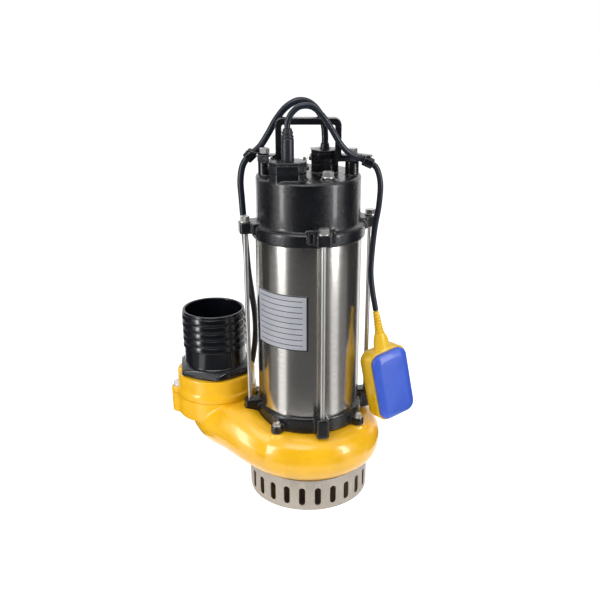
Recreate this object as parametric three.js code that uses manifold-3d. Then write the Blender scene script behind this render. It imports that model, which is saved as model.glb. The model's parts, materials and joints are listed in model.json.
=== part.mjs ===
// A submersible sump pump with a float switch: a cast volute with an upright hose tail, a slotted inlet
// strainer, an oil chamber, a stainless motor barrel held between the oil chamber and the motor cap by
// four long tie bolts, a strap handle, and two cables that leave the cap through glands.
// Millimetres, +Z up. The origin is on the motor axis, on the underside of the strainer.
import * as THREE from "three";
import { mergeVertices } from "three/addons/utils/BufferGeometryUtils.js";
import Module from "manifold-3d";

const wasm = await Module();
wasm.setup();

// ---- Clearances
const GAP = 0.3; // between pieces that seat on or in each other
const RUN_GAP = 1; // between pieces that turn and pieces that stay
const BALL_GAP = 0.9; // between a bearing's faceted balls and its races
const FINE = 30; // facets around a large turned piece
const COARSE = 14; // facets around a small turned piece
const SMALL = 8; // facets around a bolt or a hole for one

// ---- Driving sizes
const BARREL_R = 80;
const BARREL_WALL = 1.5;
const BARREL_LENGTH = 276;
const STRAINER_R = 97;
const STRAINER_WALL = 2;
const STRAINER_HEIGHT = 56;
const SLOT_COUNT = 24;
const SLOT_WIDTH = 9.5;
const SLOT_LENGTH = 31;
const CASING_R = 110; // the volute's reach at its tongue
const CASING_GROWTH = 12; // how much further it reaches at the throat
const CASING_HEIGHT = 78;
const CASING_WALL = 7;
const INLET_R = 48;
const CHAMBER_HEIGHT = 26; // the oil chamber's band between volute and barrel
const CAP_HEIGHT = 84; // from the barrel's end to the cap's top
const CAP_R = 77.5;
const CAP_WALL = 7;
const OUTLET_X = -153;
const OUTLET_Y = 40;
const COLLAR_R = 66;
const OUTLET_FLANGE_HEIGHT = 40;
const HOSE_R = 50.5;
const HOSE_WALL = 5;
const HOSE_LENGTH = 90;
const TIE_ANGLE = 13; // degrees from the front, towards +X
const TIE_CIRCLE_R = 96;
const TIE_ROD_R = 3.5;
const SHAFT_R = 10;
const IMPELLER_R = 68;
const HANDLE_HEIGHT = 80; // from the cap to the strap's top
const HANDLE_SPAN = 94;
const FLOAT_CORD_R = 4.3;
const POWER_CORD_R = 5;

// ---- Heights that follow from them
const CASING_BOTTOM = STRAINER_HEIGHT;
const CASING_TOP = CASING_BOTTOM + CASING_HEIGHT;
const BARREL_BOTTOM = CASING_TOP + CHAMBER_HEIGHT;
const BARREL_TOP = BARREL_BOTTOM + BARREL_LENGTH;
const CAP_TOP = BARREL_TOP + CAP_HEIGHT;
const HANDLE_TOP = CAP_TOP + HANDLE_HEIGHT;
const COLLAR_TOP = CASING_TOP + 59;
const COLLAR_BOTTOM = CASING_TOP - 14;
const BARREL_BORE = BARREL_R - BARREL_WALL;
const BAND_R = BARREL_R + 5; // the cast bands at both ends of the barrel
const SPIGOT_R = BARREL_BORE - GAP;

// ---- Materials
const paint = (color, roughness, metalness) => new THREE.MeshStandardMaterial({ color, roughness,
  metalness });
const YELLOW_PAINT = paint(0xf2b418, 0.35, 0);
const BLACK_PAINT = paint(0x17181b, 0.4, 0.1);
const STAINLESS = paint(0xb9b6b0, 0.3, 1);
const ZINC = paint(0xc2c3c4, 0.35, 1);
const BLACK_PLASTIC = paint(0x141518, 0.35, 0);
const RUBBER = paint(0x1a1b1d, 0.7, 0);
const CABLE_JACKET = paint(0x1d2024, 0.6, 0);
const COPPER = paint(0xb5652f, 0.4, 0.9);
const STEEL = paint(0x8f9296, 0.4, 1);
const CAST_IRON = paint(0x55585c, 0.6, 0.8);
const CERAMIC = paint(0xe6e2d8, 0.3, 0);
const FLOAT_YELLOW = paint(0xf0c020, 0.4, 0);
const FLOAT_BLUE = paint(0x3f68e0, 0.4, 0);
const LABEL = paint(0xc9cbd0, 0.4, 0.6);

// ---- Solids from three.js geometry
function solid(geometry) {
  const bare = (geometry.index ? geometry.toNonIndexed() : geometry.clone()).deleteAttribute("normal");
  const merged = mergeVertices(bare.deleteAttribute("uv"), 1e-4);
  const vertProperties = new Float32Array(merged.attributes.position.array);
  const triVerts = new Uint32Array(merged.index.array);
  const made = new wasm.Manifold(new wasm.Mesh({ numProp: 3, vertProperties, triVerts }));
  if (made.volume() > 0) return made;
  for (let i = 0; i < triVerts.length; i += 3) {
    [triVerts[i + 1], triVerts[i + 2]] = [triVerts[i + 2], triVerts[i + 1]];
  }
  return new wasm.Manifold(new wasm.Mesh({ numProp: 3, vertProperties, triVerts }));
}

function mesh(name, manifold, material) {
  const found = manifold.getMesh();
  const geometry = new THREE.BufferGeometry();
  geometry.setAttribute("position", new THREE.BufferAttribute(new Float32Array(found.vertProperties), 3));
  geometry.setIndex(new THREE.BufferAttribute(new Uint32Array(found.triVerts), 1));
  geometry.computeVertexNormals();
  const made = new THREE.Mesh(geometry, material);
  made.name = name;
  return made;
}

// A profile of [radius, height] points, turned about +Z.
function lathe(profile, facets = FINE) {
  const points = profile.map(([r, z]) => new THREE.Vector2(r, z));
  const onAxis = profile[0][0] === 0 && profile.at(-1)[0] === 0;
  if (!onAxis) points.push(points[0].clone());
  return new THREE.LatheGeometry(points, facets).rotateX(Math.PI / 2);
}
const turned = (profile, facets) => solid(lathe(profile, facets));
const rod = (r, z0, z1, facets = COARSE) => turned([[0, z0], [r, z0], [r, z1], [0, z1]], facets);
const ring = (inner, outer, z0, z1, facets = FINE) =>
  turned([[inner, z0], [outer, z0], [outer, z1], [inner, z1]], facets);

function block(x0, x1, y0, y1, z0, z1) {
  const geometry = new THREE.BoxGeometry(x1 - x0, y1 - y0, z1 - z0);
  return solid(geometry.translate((x0 + x1) / 2, (y0 + y1) / 2, (z0 + z1) / 2));
}

// An outline in X and Y, raised from z0 to z1.
function raised(shape, z0, z1, curveSegments = 5) {
  const geometry = new THREE.ExtrudeGeometry(shape, { depth: z1 - z0, bevelEnabled: false, curveSegments });
  return solid(geometry.translate(0, 0, z0));
}

function roundedRectangle(width, height, radius) {
  const shape = new THREE.Shape();
  const [x, y] = [width / 2, height / 2];
  shape.moveTo(-x + radius, -y);
  shape.lineTo(x - radius, -y).absarc(x - radius, -y + radius, radius, -Math.PI / 2, 0);
  shape.lineTo(x, y - radius).absarc(x - radius, y - radius, radius, 0, Math.PI / 2);
  shape.lineTo(-x + radius, y).absarc(-x + radius, y - radius, radius, Math.PI / 2, Math.PI);
  shape.lineTo(-x, -y + radius).absarc(-x + radius, -y + radius, radius, Math.PI, 1.5 * Math.PI);
  return shape;
}

function hexagon(acrossFlats) {
  const corner = acrossFlats / Math.sqrt(3);
  const points = Array.from({ length: 6 }, (_, i) => {
    const angle = (i * Math.PI) / 3;
    return new THREE.Vector2(corner * Math.cos(angle), corner * Math.sin(angle));
  });
  return new THREE.Shape(points);
}

// A round tube of changing radius along a curve, closed at both ends.
function taperedTube(curve, radiusAt, steps, sides) {
  const frames = curve.computeFrenetFrames(steps, false);
  const positions = [];
  const indices = [];
  for (let i = 0; i <= steps; i++) {
    const centre = curve.getPointAt(i / steps);
    for (let j = 0; j < sides; j++) {
      const angle = (2 * Math.PI * j) / sides;
      const out = frames.normals[i].clone().multiplyScalar(Math.cos(angle));
      out.addScaledVector(frames.binormals[i], Math.sin(angle)).multiplyScalar(radiusAt(i / steps));
      positions.push(...out.add(centre).toArray());
    }
  }
  for (let i = 0; i < steps; i++) {
    for (let j = 0; j < sides; j++) {
      const [a, b] = [i * sides + j, i * sides + ((j + 1) % sides)];
      indices.push(a, b, b + sides, a, b + sides, a + sides);
    }
  }
  const last = steps * sides;
  for (let j = 1; j < sides - 1; j++) {
    indices.push(0, j + 1, j, last, last + j, last + j + 1);
  }
  const geometry = new THREE.BufferGeometry();
  geometry.setAttribute("position", new THREE.Float32BufferAttribute(positions, 3));
  return solid(geometry.setIndex(indices));
}

const union = (first, ...rest) => rest.reduce((whole, piece) => whole.add(piece), first);
const cut = (first, ...rest) => rest.reduce((whole, piece) => whole.subtract(piece), first);
const radians = (degrees) => (degrees * Math.PI) / 180;
// A place at an angle from the front (-Y), turning towards +X.
const around = (r, degrees) => [r * Math.sin(radians(degrees)), -r * Math.cos(radians(degrees))];
const moved = (piece, x, y, z = 0) => piece.translate([x, y, z]);
// A piece drawn in front of the axis, turned to an angle from the front.
const turnedTo = (piece, degrees) => piece.rotate([0, 0, degrees]);
const TIE_ANGLES = [0, 1, 2, 3].map((i) => TIE_ANGLE + 90 * i);
const CHAMBER_BOLT_ANGLES = TIE_ANGLES.map((angle) => angle - 45);

// ---- Inlet strainer
function strainer() {
  const cup = turned([
    [0, 0], [STRAINER_R - 3, 0], [STRAINER_R, 3], [STRAINER_R, STRAINER_HEIGHT],
    [STRAINER_R - STRAINER_WALL, STRAINER_HEIGHT], [STRAINER_R - STRAINER_WALL, 4],
    [STRAINER_R - 4, STRAINER_WALL], [0, STRAINER_WALL],
  ]);
  const half = SLOT_LENGTH / 2 - SLOT_WIDTH / 2;
  const slot = new THREE.Shape();
  slot.absarc(0, half, SLOT_WIDTH / 2, 0, Math.PI).absarc(0, -half, SLOT_WIDTH / 2, Math.PI, 2 * Math.PI);
  const cutter = raised(slot, STRAINER_R - 10, STRAINER_R + 5, 3).rotate([90, 0, 0]);
  const slotHeight = STRAINER_HEIGHT / 2 - 1.5;
  const slots = Array.from({ length: SLOT_COUNT }, (_, i) =>
    turnedTo(moved(cutter, 0, 0, slotHeight), (360 / SLOT_COUNT) * (i + 0.6)));
  return mesh("strainer", cut(cup, ...slots), STAINLESS);
}

// ---- Volute
const CASING_MIDDLE = CASING_BOTTOM + CASING_HEIGHT / 2;
const CORE_R = 75; // where the volute's rounded side begins
const CASING_OPENING_R = CORE_R - 0.5;

// The reach of the volute grows clockwise from its tongue at the left rear to its throat at the front.
function casingReach(angle) {
  const turn = (((angle + 200) % 360) + 360) % 360;
  return CASING_GROWTH * Math.sin(Math.min(1, turn / 300) * (Math.PI / 2)) * Math.min(1, (360 - turn) / 60);
}

// The volute's round-shouldered body, or the hollow inside it when it is drawn in by inset.
function voluteBody(inset) {
  const [side, half] = [CASING_R - CORE_R - inset, CASING_HEIGHT / 2 - inset];
  const profile = [[0, CASING_MIDDLE - half]];
  const steps = 8;
  for (let i = 0; i <= steps; i++) {
    const angle = (i / steps - 0.5) * Math.PI;
    const [c, s] = [Math.cos(angle), Math.sin(angle)];
    const r = CORE_R + side * Math.pow(Math.abs(c), 0.78);
    profile.push([r, CASING_MIDDLE + half * Math.sign(s) * Math.pow(Math.abs(s), 0.85)]);
  }
  profile.push([0, CASING_MIDDLE + half]);
  const geometry = lathe(profile);
  const place = geometry.attributes.position;
  for (let i = 0; i < place.count; i++) {
    const [x, y] = [place.getX(i), place.getY(i)];
    const r = Math.hypot(x, y);
    if (r <= CORE_R) continue;
    const angle = (Math.atan2(x, -y) * 180) / Math.PI;
    const stretch = 1 + (casingReach(-angle) * ((r - CORE_R) / (CASING_R - CORE_R))) / r;
    place.setXY(i, x * stretch, y * stretch);
  }
  return solid(geometry);
}

const DUCT_START_R = 38;
const DUCT_END_R = 58;
const ductFloor = CASING_BOTTOM + DUCT_START_R + 1;
const ductCurve = new THREE.CatmullRomCurve3([
  new THREE.Vector3(-6, -74, ductFloor),
  new THREE.Vector3(-62, -61, ductFloor + 4),
  new THREE.Vector3(-111, -23, ductFloor + 19),
  new THREE.Vector3(OUTLET_X + 8, OUTLET_Y - 24, COLLAR_BOTTOM),
  new THREE.Vector3(OUTLET_X, OUTLET_Y, COLLAR_BOTTOM + 26),
  new THREE.Vector3(OUTLET_X, OUTLET_Y, COLLAR_TOP - OUTLET_FLANGE_HEIGHT + 14),
]);
const duct = (inset) =>
  taperedTube(ductCurve, (t) => DUCT_START_R + (DUCT_END_R - DUCT_START_R) * t ** 1.8 - inset, 10, 18);

const FLANGE_FACE = COLLAR_TOP - OUTLET_FLANGE_HEIGHT; // where the outlet flange meets the volute
const EAR_ANGLES = [-80, 150];
const EAR_BOLT_CIRCLE_R = COLLAR_R - 2;
const EAR_R = 11;
const earPlace = (angle) => {
  const [x, y] = around(EAR_BOLT_CIRCLE_R, angle);
  return [OUTLET_X + x, OUTLET_Y + y];
};

// The collar's outline: a ring with two bolt ears.
function collar(z0, z1) {
  const ears = EAR_ANGLES.map((angle) => moved(rod(EAR_R, z0, z1), ...earPlace(angle)));
  return union(moved(rod(COLLAR_R, z0, z1, FINE), OUTLET_X, OUTLET_Y), ...ears);
}

const FOOT_WIDTH = 20;
const FOOT_REACH = 9;
const EAR_HALF_WIDTH = 9;
// A foot that takes a tie bolt, and an ear that takes a chamber bolt, both drawn at the front.
const chamberFoot = (margin, top) => block(
  -FOOT_WIDTH / 2 - margin, FOOT_WIDTH / 2 + margin, -TIE_CIRCLE_R - FOOT_REACH - margin, -BARREL_R - 1,
  CASING_TOP, top);
const chamberEar = (margin, top) => union(
  moved(rod(EAR_HALF_WIDTH + margin, CASING_TOP, top), 0, -CHAMBER_BOLT_CIRCLE_R),
  block(-EAR_HALF_WIDTH - margin, EAR_HALF_WIDTH + margin, -CHAMBER_BOLT_CIRCLE_R, -BARREL_R + 2,
    CASING_TOP, top),
);
const CHAMBER_BOLT_CIRCLE_R = 93;
const CHAMBER_BOLT_R = 3;
const CHAMBER_BOLT_DEPTH = 8;
const EAR_BOLT_SHANK_R = 4;
const EAR_BOLT_DEPTH = 16;
const WEAR_RING_HEIGHT = CASING_WALL;
const WEAR_RING_WALL = 4;

function voluteCasing() {
  const outside = union(
    voluteBody(0), duct(0), collar(COLLAR_BOTTOM, FLANGE_FACE),
    ring(STRAINER_R - STRAINER_WALL - GAP - 6, STRAINER_R - STRAINER_WALL - GAP, CASING_BOTTOM - 5,
      CASING_BOTTOM + 12),
  );
  const inside = union(
    voluteBody(CASING_WALL), duct(CASING_WALL),
    moved(rod(DUCT_END_R - CASING_WALL, COLLAR_BOTTOM + 20, FLANGE_FACE + 5, COARSE), OUTLET_X, OUTLET_Y),
    rod(CASING_OPENING_R, CASING_MIDDLE, CASING_TOP + 5, FINE),
    rod(INLET_R, CASING_BOTTOM - 5, CASING_MIDDLE, FINE),
  );
  const boltHoles = CHAMBER_BOLT_ANGLES.map((angle) =>
    moved(rod(CHAMBER_BOLT_R + GAP, CASING_TOP - CHAMBER_BOLT_DEPTH - GAP, CASING_TOP + 5, SMALL),
      ...around(CHAMBER_BOLT_CIRCLE_R, angle)));
  const earHoles = EAR_ANGLES.map((angle) =>
    moved(rod(EAR_BOLT_SHANK_R + GAP, FLANGE_FACE - EAR_BOLT_DEPTH - GAP, FLANGE_FACE + 5, SMALL),
      ...earPlace(angle)));
  // Room for the oil chamber's band, feet and ears where the duct and the collar rise beside them.
  const top = CASING_TOP + 80;
  const room = union(
    rod(BAND_R + RUN_GAP, CASING_TOP, top, FINE),
    ...TIE_ANGLES.map((angle) => turnedTo(chamberFoot(RUN_GAP, top), angle)),
    ...CHAMBER_BOLT_ANGLES.map((angle) => turnedTo(chamberEar(RUN_GAP, top), angle)),
  );
  const aboveFlange = moved(rod(COLLAR_R + 30, FLANGE_FACE, top, FINE), OUTLET_X, OUTLET_Y);
  return mesh("volute_casing", cut(outside, aboveFlange, room, inside, ...boltHoles, ...earHoles),
    YELLOW_PAINT);
}

function wearRing() {
  const outer = INLET_R - GAP;
  const z0 = CASING_BOTTOM;
  return mesh("wear_ring", ring(outer - WEAR_RING_WALL, outer, z0, z0 + WEAR_RING_HEIGHT), CAST_IRON);
}

// ---- Outlet: gasket, threaded flange, its bolts, and the hose tail that screws into it
const GASKET = 2;
const HEX_ACROSS_FLATS = 112;
const HEX_HEIGHT = 13;
const HEX_BOTTOM = COLLAR_TOP + 2;
const THREAD_R = 51;
const EAR_BOLT_HEAD = 6;

const EAR_WASHER_R = 8;
const EAR_TOP = COLLAR_TOP - 27; // the ears stop below the collar's rim

function outlet() {
  const z0 = FLANGE_FACE + GASKET;
  const earHoles = (z1) => EAR_ANGLES.map((angle) => moved(rod(EAR_BOLT_SHANK_R + GAP, z0 - 5, z1, SMALL),
    ...earPlace(angle)));
  const boreAt = (r, a, b) => moved(rod(r, a, b, FINE), OUTLET_X, OUTLET_Y);
  const gasket = cut(collar(FLANGE_FACE, z0), boreAt(DUCT_END_R - CASING_WALL, FLANGE_FACE - 5, z0 + 5),
    ...earHoles(z0 + 5));
  const flange = cut(
    union(collar(z0, EAR_TOP), moved(rod(COLLAR_R - 2, EAR_TOP, COLLAR_TOP, FINE), OUTLET_X, OUTLET_Y)),
    ...EAR_ANGLES.map((angle) => moved(rod(EAR_WASHER_R + 0.6, EAR_TOP, COLLAR_TOP + 5),
      ...earPlace(angle))),
    boreAt(THREAD_R + GAP, z0 - 5, COLLAR_TOP + 5), ...earHoles(COLLAR_TOP),
  );
  const hex = raised(hexagon(HEX_ACROSS_FLATS), HEX_BOTTOM, HEX_BOTTOM + HEX_HEIGHT).rotate([0, 0, 8]);
  const barbs = [0, 1, 2, 3, 4].map((i) => {
    const z = HEX_BOTTOM + HEX_HEIGHT + 28 + i * 12;
    return turned([[HOSE_R - HOSE_WALL, z], [HOSE_R, z], [HOSE_R + 1.2, z + 2], [HOSE_R, z + 9],
      [HOSE_R - HOSE_WALL, z + 9]], FINE);
  });
  const bore = HOSE_R - HOSE_WALL;
  const hoseTop = HEX_BOTTOM + HEX_HEIGHT + HOSE_LENGTH;
  const tail = cut(
    union(hex, rod(THREAD_R, z0 + 4, HEX_BOTTOM, FINE), rod(HOSE_R - 0.8, HEX_BOTTOM, hoseTop, FINE),
      ...barbs),
    rod(bore, z0, hoseTop + 5, FINE),
  );
  const seal = moved(ring(THREAD_R + GAP, THREAD_R + 5, COLLAR_TOP, HEX_BOTTOM), OUTLET_X, OUTLET_Y);
  const bolts = EAR_ANGLES.map((angle, i) => {
    const bolt = union(
      rod(EAR_BOLT_SHANK_R, FLANGE_FACE - EAR_BOLT_DEPTH, EAR_TOP + 3, SMALL),
      rod(EAR_WASHER_R, EAR_TOP, EAR_TOP + 1.6),
      raised(hexagon(13), EAR_TOP + 1.6, EAR_TOP + 1.6 + EAR_BOLT_HEAD),
    );
    return mesh(`flange_bolt_${i + 1}`, moved(bolt, ...earPlace(angle)), ZINC);
  });
  return [
    mesh("outlet_gasket", gasket, RUBBER), mesh("outlet_flange", flange, YELLOW_PAINT),
    mesh("hose_tail_seal", seal, RUBBER), mesh("hose_tail", moved(tail, OUTLET_X, OUTLET_Y),
      BLACK_PLASTIC), ...bolts,
  ];
}

// ---- Oil chamber
const FOOT_TOP = BARREL_BOTTOM + 6;
const TIE_THREAD_DEPTH = 20;
const PLATE = 8; // thickness of the chamber's end plates
const CHAMBER_SPIGOT_R = CASING_OPENING_R - GAP;
const SPIGOT_HEIGHT = 12;
const CHAMBER_CAVITY_R = 62;
const SEAL_SEAT_R = 20;
const LOWER_BEARING = { bore: 12.5, outer: 26, height: 15, bottom: BARREL_BOTTOM + 15 };
const UPPER_BEARING = { bore: 10, outer: 23.5, height: 14, bottom: BARREL_TOP - 30 };
const EAR_HEIGHT = 12;

function oilChamber() {
  const bottom = CASING_TOP - SPIGOT_HEIGHT;
  const top = BARREL_BOTTOM + SPIGOT_HEIGHT;
  const pocketTop = LOWER_BEARING.bottom + LOWER_BEARING.height;
  const pocketR = LOWER_BEARING.outer + GAP;
  const body = turned([
    [SEAL_SEAT_R + GAP, bottom], [CHAMBER_SPIGOT_R, bottom], [CHAMBER_SPIGOT_R, CASING_TOP],
    [BAND_R, CASING_TOP],
    [BAND_R, BARREL_BOTTOM], [SPIGOT_R, BARREL_BOTTOM], [SPIGOT_R, top], [pocketR + 8, top],
    [pocketR + 6, pocketTop], [pocketR, pocketTop], [pocketR, LOWER_BEARING.bottom - GAP],
    [SHAFT_R + 7, LOWER_BEARING.bottom - GAP], [SHAFT_R + 7, BARREL_BOTTOM + 4],
    [CHAMBER_CAVITY_R, BARREL_BOTTOM + 4],
    [CHAMBER_CAVITY_R, bottom + PLATE], [SEAL_SEAT_R + GAP, bottom + PLATE],
  ]);
  const foot = chamberFoot(0, FOOT_TOP);
  const ear = chamberEar(0, CASING_TOP + EAR_HEIGHT);
  const footHole = moved(rod(TIE_ROD_R + GAP, FOOT_TOP - TIE_THREAD_DEPTH - GAP, FOOT_TOP + 5, SMALL), 0,
    -TIE_CIRCLE_R);
  const earHole = moved(rod(CHAMBER_BOLT_R + GAP, CASING_TOP - 5, CASING_TOP + EAR_HEIGHT + 5, SMALL), 0,
    -CHAMBER_BOLT_CIRCLE_R);
  const sealGroove = (inner, z) => ring(inner, inner + 20, z, z + 3);
  return mesh("oil_chamber", cut(
    union(body, ...TIE_ANGLES.map((a) => turnedTo(foot, a)),
      ...CHAMBER_BOLT_ANGLES.map((a) => turnedTo(ear, a))),
    ...TIE_ANGLES.map((a) => turnedTo(footHole, a)),
    ...CHAMBER_BOLT_ANGLES.map((a) => turnedTo(earHole, a)),
    sealGroove(CHAMBER_SPIGOT_R - 2.4, CASING_TOP - 6), sealGroove(SPIGOT_R - 2.4, BARREL_BOTTOM + 5),
  ), BLACK_PAINT);
}

function chamberBolts() {
  const top = CASING_TOP + EAR_HEIGHT;
  const bolt = union(
    rod(CHAMBER_BOLT_R, CASING_TOP - CHAMBER_BOLT_DEPTH, top + 2, SMALL), rod(7, top, top + 1.4, COARSE),
    raised(hexagon(10), top + 1.4, top + 6.4),
  );
  return CHAMBER_BOLT_ANGLES.map((angle, i) =>
    mesh(`chamber_bolt_${i + 1}`, turnedTo(moved(bolt, 0, -CHAMBER_BOLT_CIRCLE_R), angle), ZINC));
}

function seals() {
  const seat = CASING_TOP - SPIGOT_HEIGHT;
  return [
    mesh("casing_seal", ring(CHAMBER_SPIGOT_R - 2.1, CHAMBER_SPIGOT_R, CASING_TOP - 5.7, CASING_TOP - 3.3),
      RUBBER),
    mesh("lower_barrel_seal", ring(SPIGOT_R - 2.1, SPIGOT_R, BARREL_BOTTOM + 5.3, BARREL_BOTTOM + 7.7),
      RUBBER),
    mesh("upper_barrel_seal", ring(SPIGOT_R - 2.1, SPIGOT_R, BARREL_TOP - 7.7, BARREL_TOP - 5.3), RUBBER),
    mesh("seal_seat", ring(SHAFT_R + 3.5, SEAL_SEAT_R, seat, seat + PLATE, COARSE), CERAMIC),
  ];
}

// ---- Motor
function motorBarrel() {
  return mesh("motor_barrel", ring(BARREL_BORE, BARREL_R, BARREL_BOTTOM, BARREL_TOP), STAINLESS);
}

const CORE_BOTTOM = BARREL_BOTTOM + 78;
const CORE_TOP = CORE_BOTTOM + 108;
const STATOR_BORE_R = 41;
const WINDING_HEIGHT = 30;

function stator() {
  const winding = (z0, z1) => ring(STATOR_BORE_R + 8, BARREL_BORE - 8, z0, z1);
  return [
    mesh("stator_core", ring(STATOR_BORE_R, BARREL_BORE - GAP, CORE_BOTTOM, CORE_TOP), STEEL),
    mesh("lower_winding", winding(CORE_BOTTOM - WINDING_HEIGHT, CORE_BOTTOM), COPPER),
    mesh("upper_winding", winding(CORE_TOP, CORE_TOP + WINDING_HEIGHT), COPPER),
  ];
}

const IMPELLER_TOP = CASING_TOP - SPIGOT_HEIGHT - 4;
const IMPELLER_HEIGHT = 34;
const KEY = 6;
const BLADES = 6;

function rotor() {
  const hubBottom = IMPELLER_TOP - IMPELLER_HEIGHT;
  const lower = LOWER_BEARING;
  const upper = UPPER_BEARING;
  const shaft = turned([
    [0, hubBottom - 16], [SHAFT_R - 4, hubBottom - 16], [SHAFT_R - 4, hubBottom - GAP],
    [SHAFT_R, hubBottom - GAP],
    [SHAFT_R, IMPELLER_TOP + GAP], [lower.bore - GAP, IMPELLER_TOP + GAP],
    [lower.bore - GAP, lower.bottom + lower.height],
    [17, lower.bottom + lower.height], [17, CORE_TOP + 20], [upper.bore + 4, CORE_TOP + 20],
    [upper.bore + 4, upper.bottom], [upper.bore - GAP, upper.bottom], [upper.bore - GAP, upper.bottom + 18],
    [0, upper.bottom + 18],
  ], COARSE);
  const keyway = block(-KEY / 2 - GAP, KEY / 2 + GAP, -SHAFT_R - 3, -SHAFT_R + 3, hubBottom + 4,
    hubBottom + 26);
  const key = block(-KEY / 2, KEY / 2, -SHAFT_R - 2.7, -SHAFT_R + 3 - GAP, hubBottom + 4.3,
    hubBottom + 25.7);
  const disc = turned([
    [SHAFT_R + GAP, hubBottom], [SHAFT_R + 9, hubBottom], [SHAFT_R + 12, IMPELLER_TOP - 8],
    [IMPELLER_R, IMPELLER_TOP - 6],
    [IMPELLER_R, IMPELLER_TOP], [SHAFT_R + GAP, IMPELLER_TOP],
  ]);
  const blade = block(-3, 3, -IMPELLER_R + 1, -SHAFT_R - 6, hubBottom + 2, IMPELLER_TOP - 5);
  const blades = Array.from({ length: BLADES }, (_, i) => turnedTo(blade, (360 / BLADES) * i + 30));
  const nut = cut(raised(hexagon(19), hubBottom - 11, hubBottom - GAP),
    rod(SHAFT_R - 4 + GAP, hubBottom - 20, hubBottom));
  const head = CASING_TOP - SPIGOT_HEIGHT + PLATE + GAP;
  return [
    mesh("shaft", cut(shaft, keyway), STEEL),
    mesh("impeller", cut(union(disc, ...blades), keyway), CAST_IRON),
    mesh("impeller_key", key, STEEL), mesh("impeller_nut", nut, ZINC),
    mesh("seal_head", ring(lower.bore, SEAL_SEAT_R - 1, head, head + 20, COARSE), RUBBER),
    mesh("rotor_core", ring(17 + GAP, STATOR_BORE_R - RUN_GAP, CORE_BOTTOM, CORE_TOP), STEEL),
  ];
}

// A ball bearing as an outer race, an inner race, and a cage that carries its balls.
function bearing(name, { bore, outer, height, bottom }) {
  const middle = bottom + height / 2;
  const pitch = (bore + outer) / 2;
  const ballR = (outer - bore) * 0.19;
  const balls = Array.from({ length: 7 }, (_, i) =>
    moved(solid(new THREE.SphereGeometry(ballR, 6, 5)), ...around(pitch, (360 / 7) * i), middle));
  return [
    mesh(`${name}_outer_race`, ring(pitch + ballR + BALL_GAP, outer, bottom, bottom + height, COARSE),
      STEEL),
    mesh(`${name}_inner_race`, ring(bore, pitch - ballR - BALL_GAP, bottom, bottom + height, COARSE),
      STEEL),
    mesh(`${name}_balls`, union(ring(pitch - 0.9, pitch + 0.9, middle - 1, middle + 1, COARSE), ...balls),
      STEEL),
  ];
}

// ---- Motor cap
const SKIRT = 6; // how far the cap's band reaches down over the barrel
const BAND_HEIGHT = 20;
const LUG_WIDTH = 40;
const LUG_BOTTOM = BARREL_TOP + 2;
const LUG_TOP = BARREL_TOP + 18;
const PARTITION = 12;
const FLOAT_GLAND = { x: -29, y: -43, width: 53, depth: 40, base: CAP_TOP + 10, top: CAP_TOP + 26 };
const POWER_GLAND = { x: 24, y: 14, width: 40, depth: 36, base: CAP_TOP + 14, top: CAP_TOP + 33 };
const HANDLE_Y = -9;
const HANDLE_BOLT_X = 63;
const HANDLE_BOSS_TOP = CAP_TOP + 20;
const HANDLE_BOSS_R = 10;
const HANDLE_BOLT_R = 3.5;
const PLUG_PLACE = [28, -46];
const PLUG_R = 6;

const glandOutline = ({ width, depth }, chamfer = 11) => {
  const [x, y] = [width / 2, depth / 2];
  const corners = [
    [-x + chamfer, -y], [x - chamfer, -y], [x, -y + chamfer], [x, y - chamfer],
    [x - chamfer, y], [-x + chamfer, y], [-x, y - chamfer], [-x, -y + chamfer],
  ];
  return new THREE.Shape(corners.map(([a, b]) => new THREE.Vector2(a, b)));
};

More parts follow.
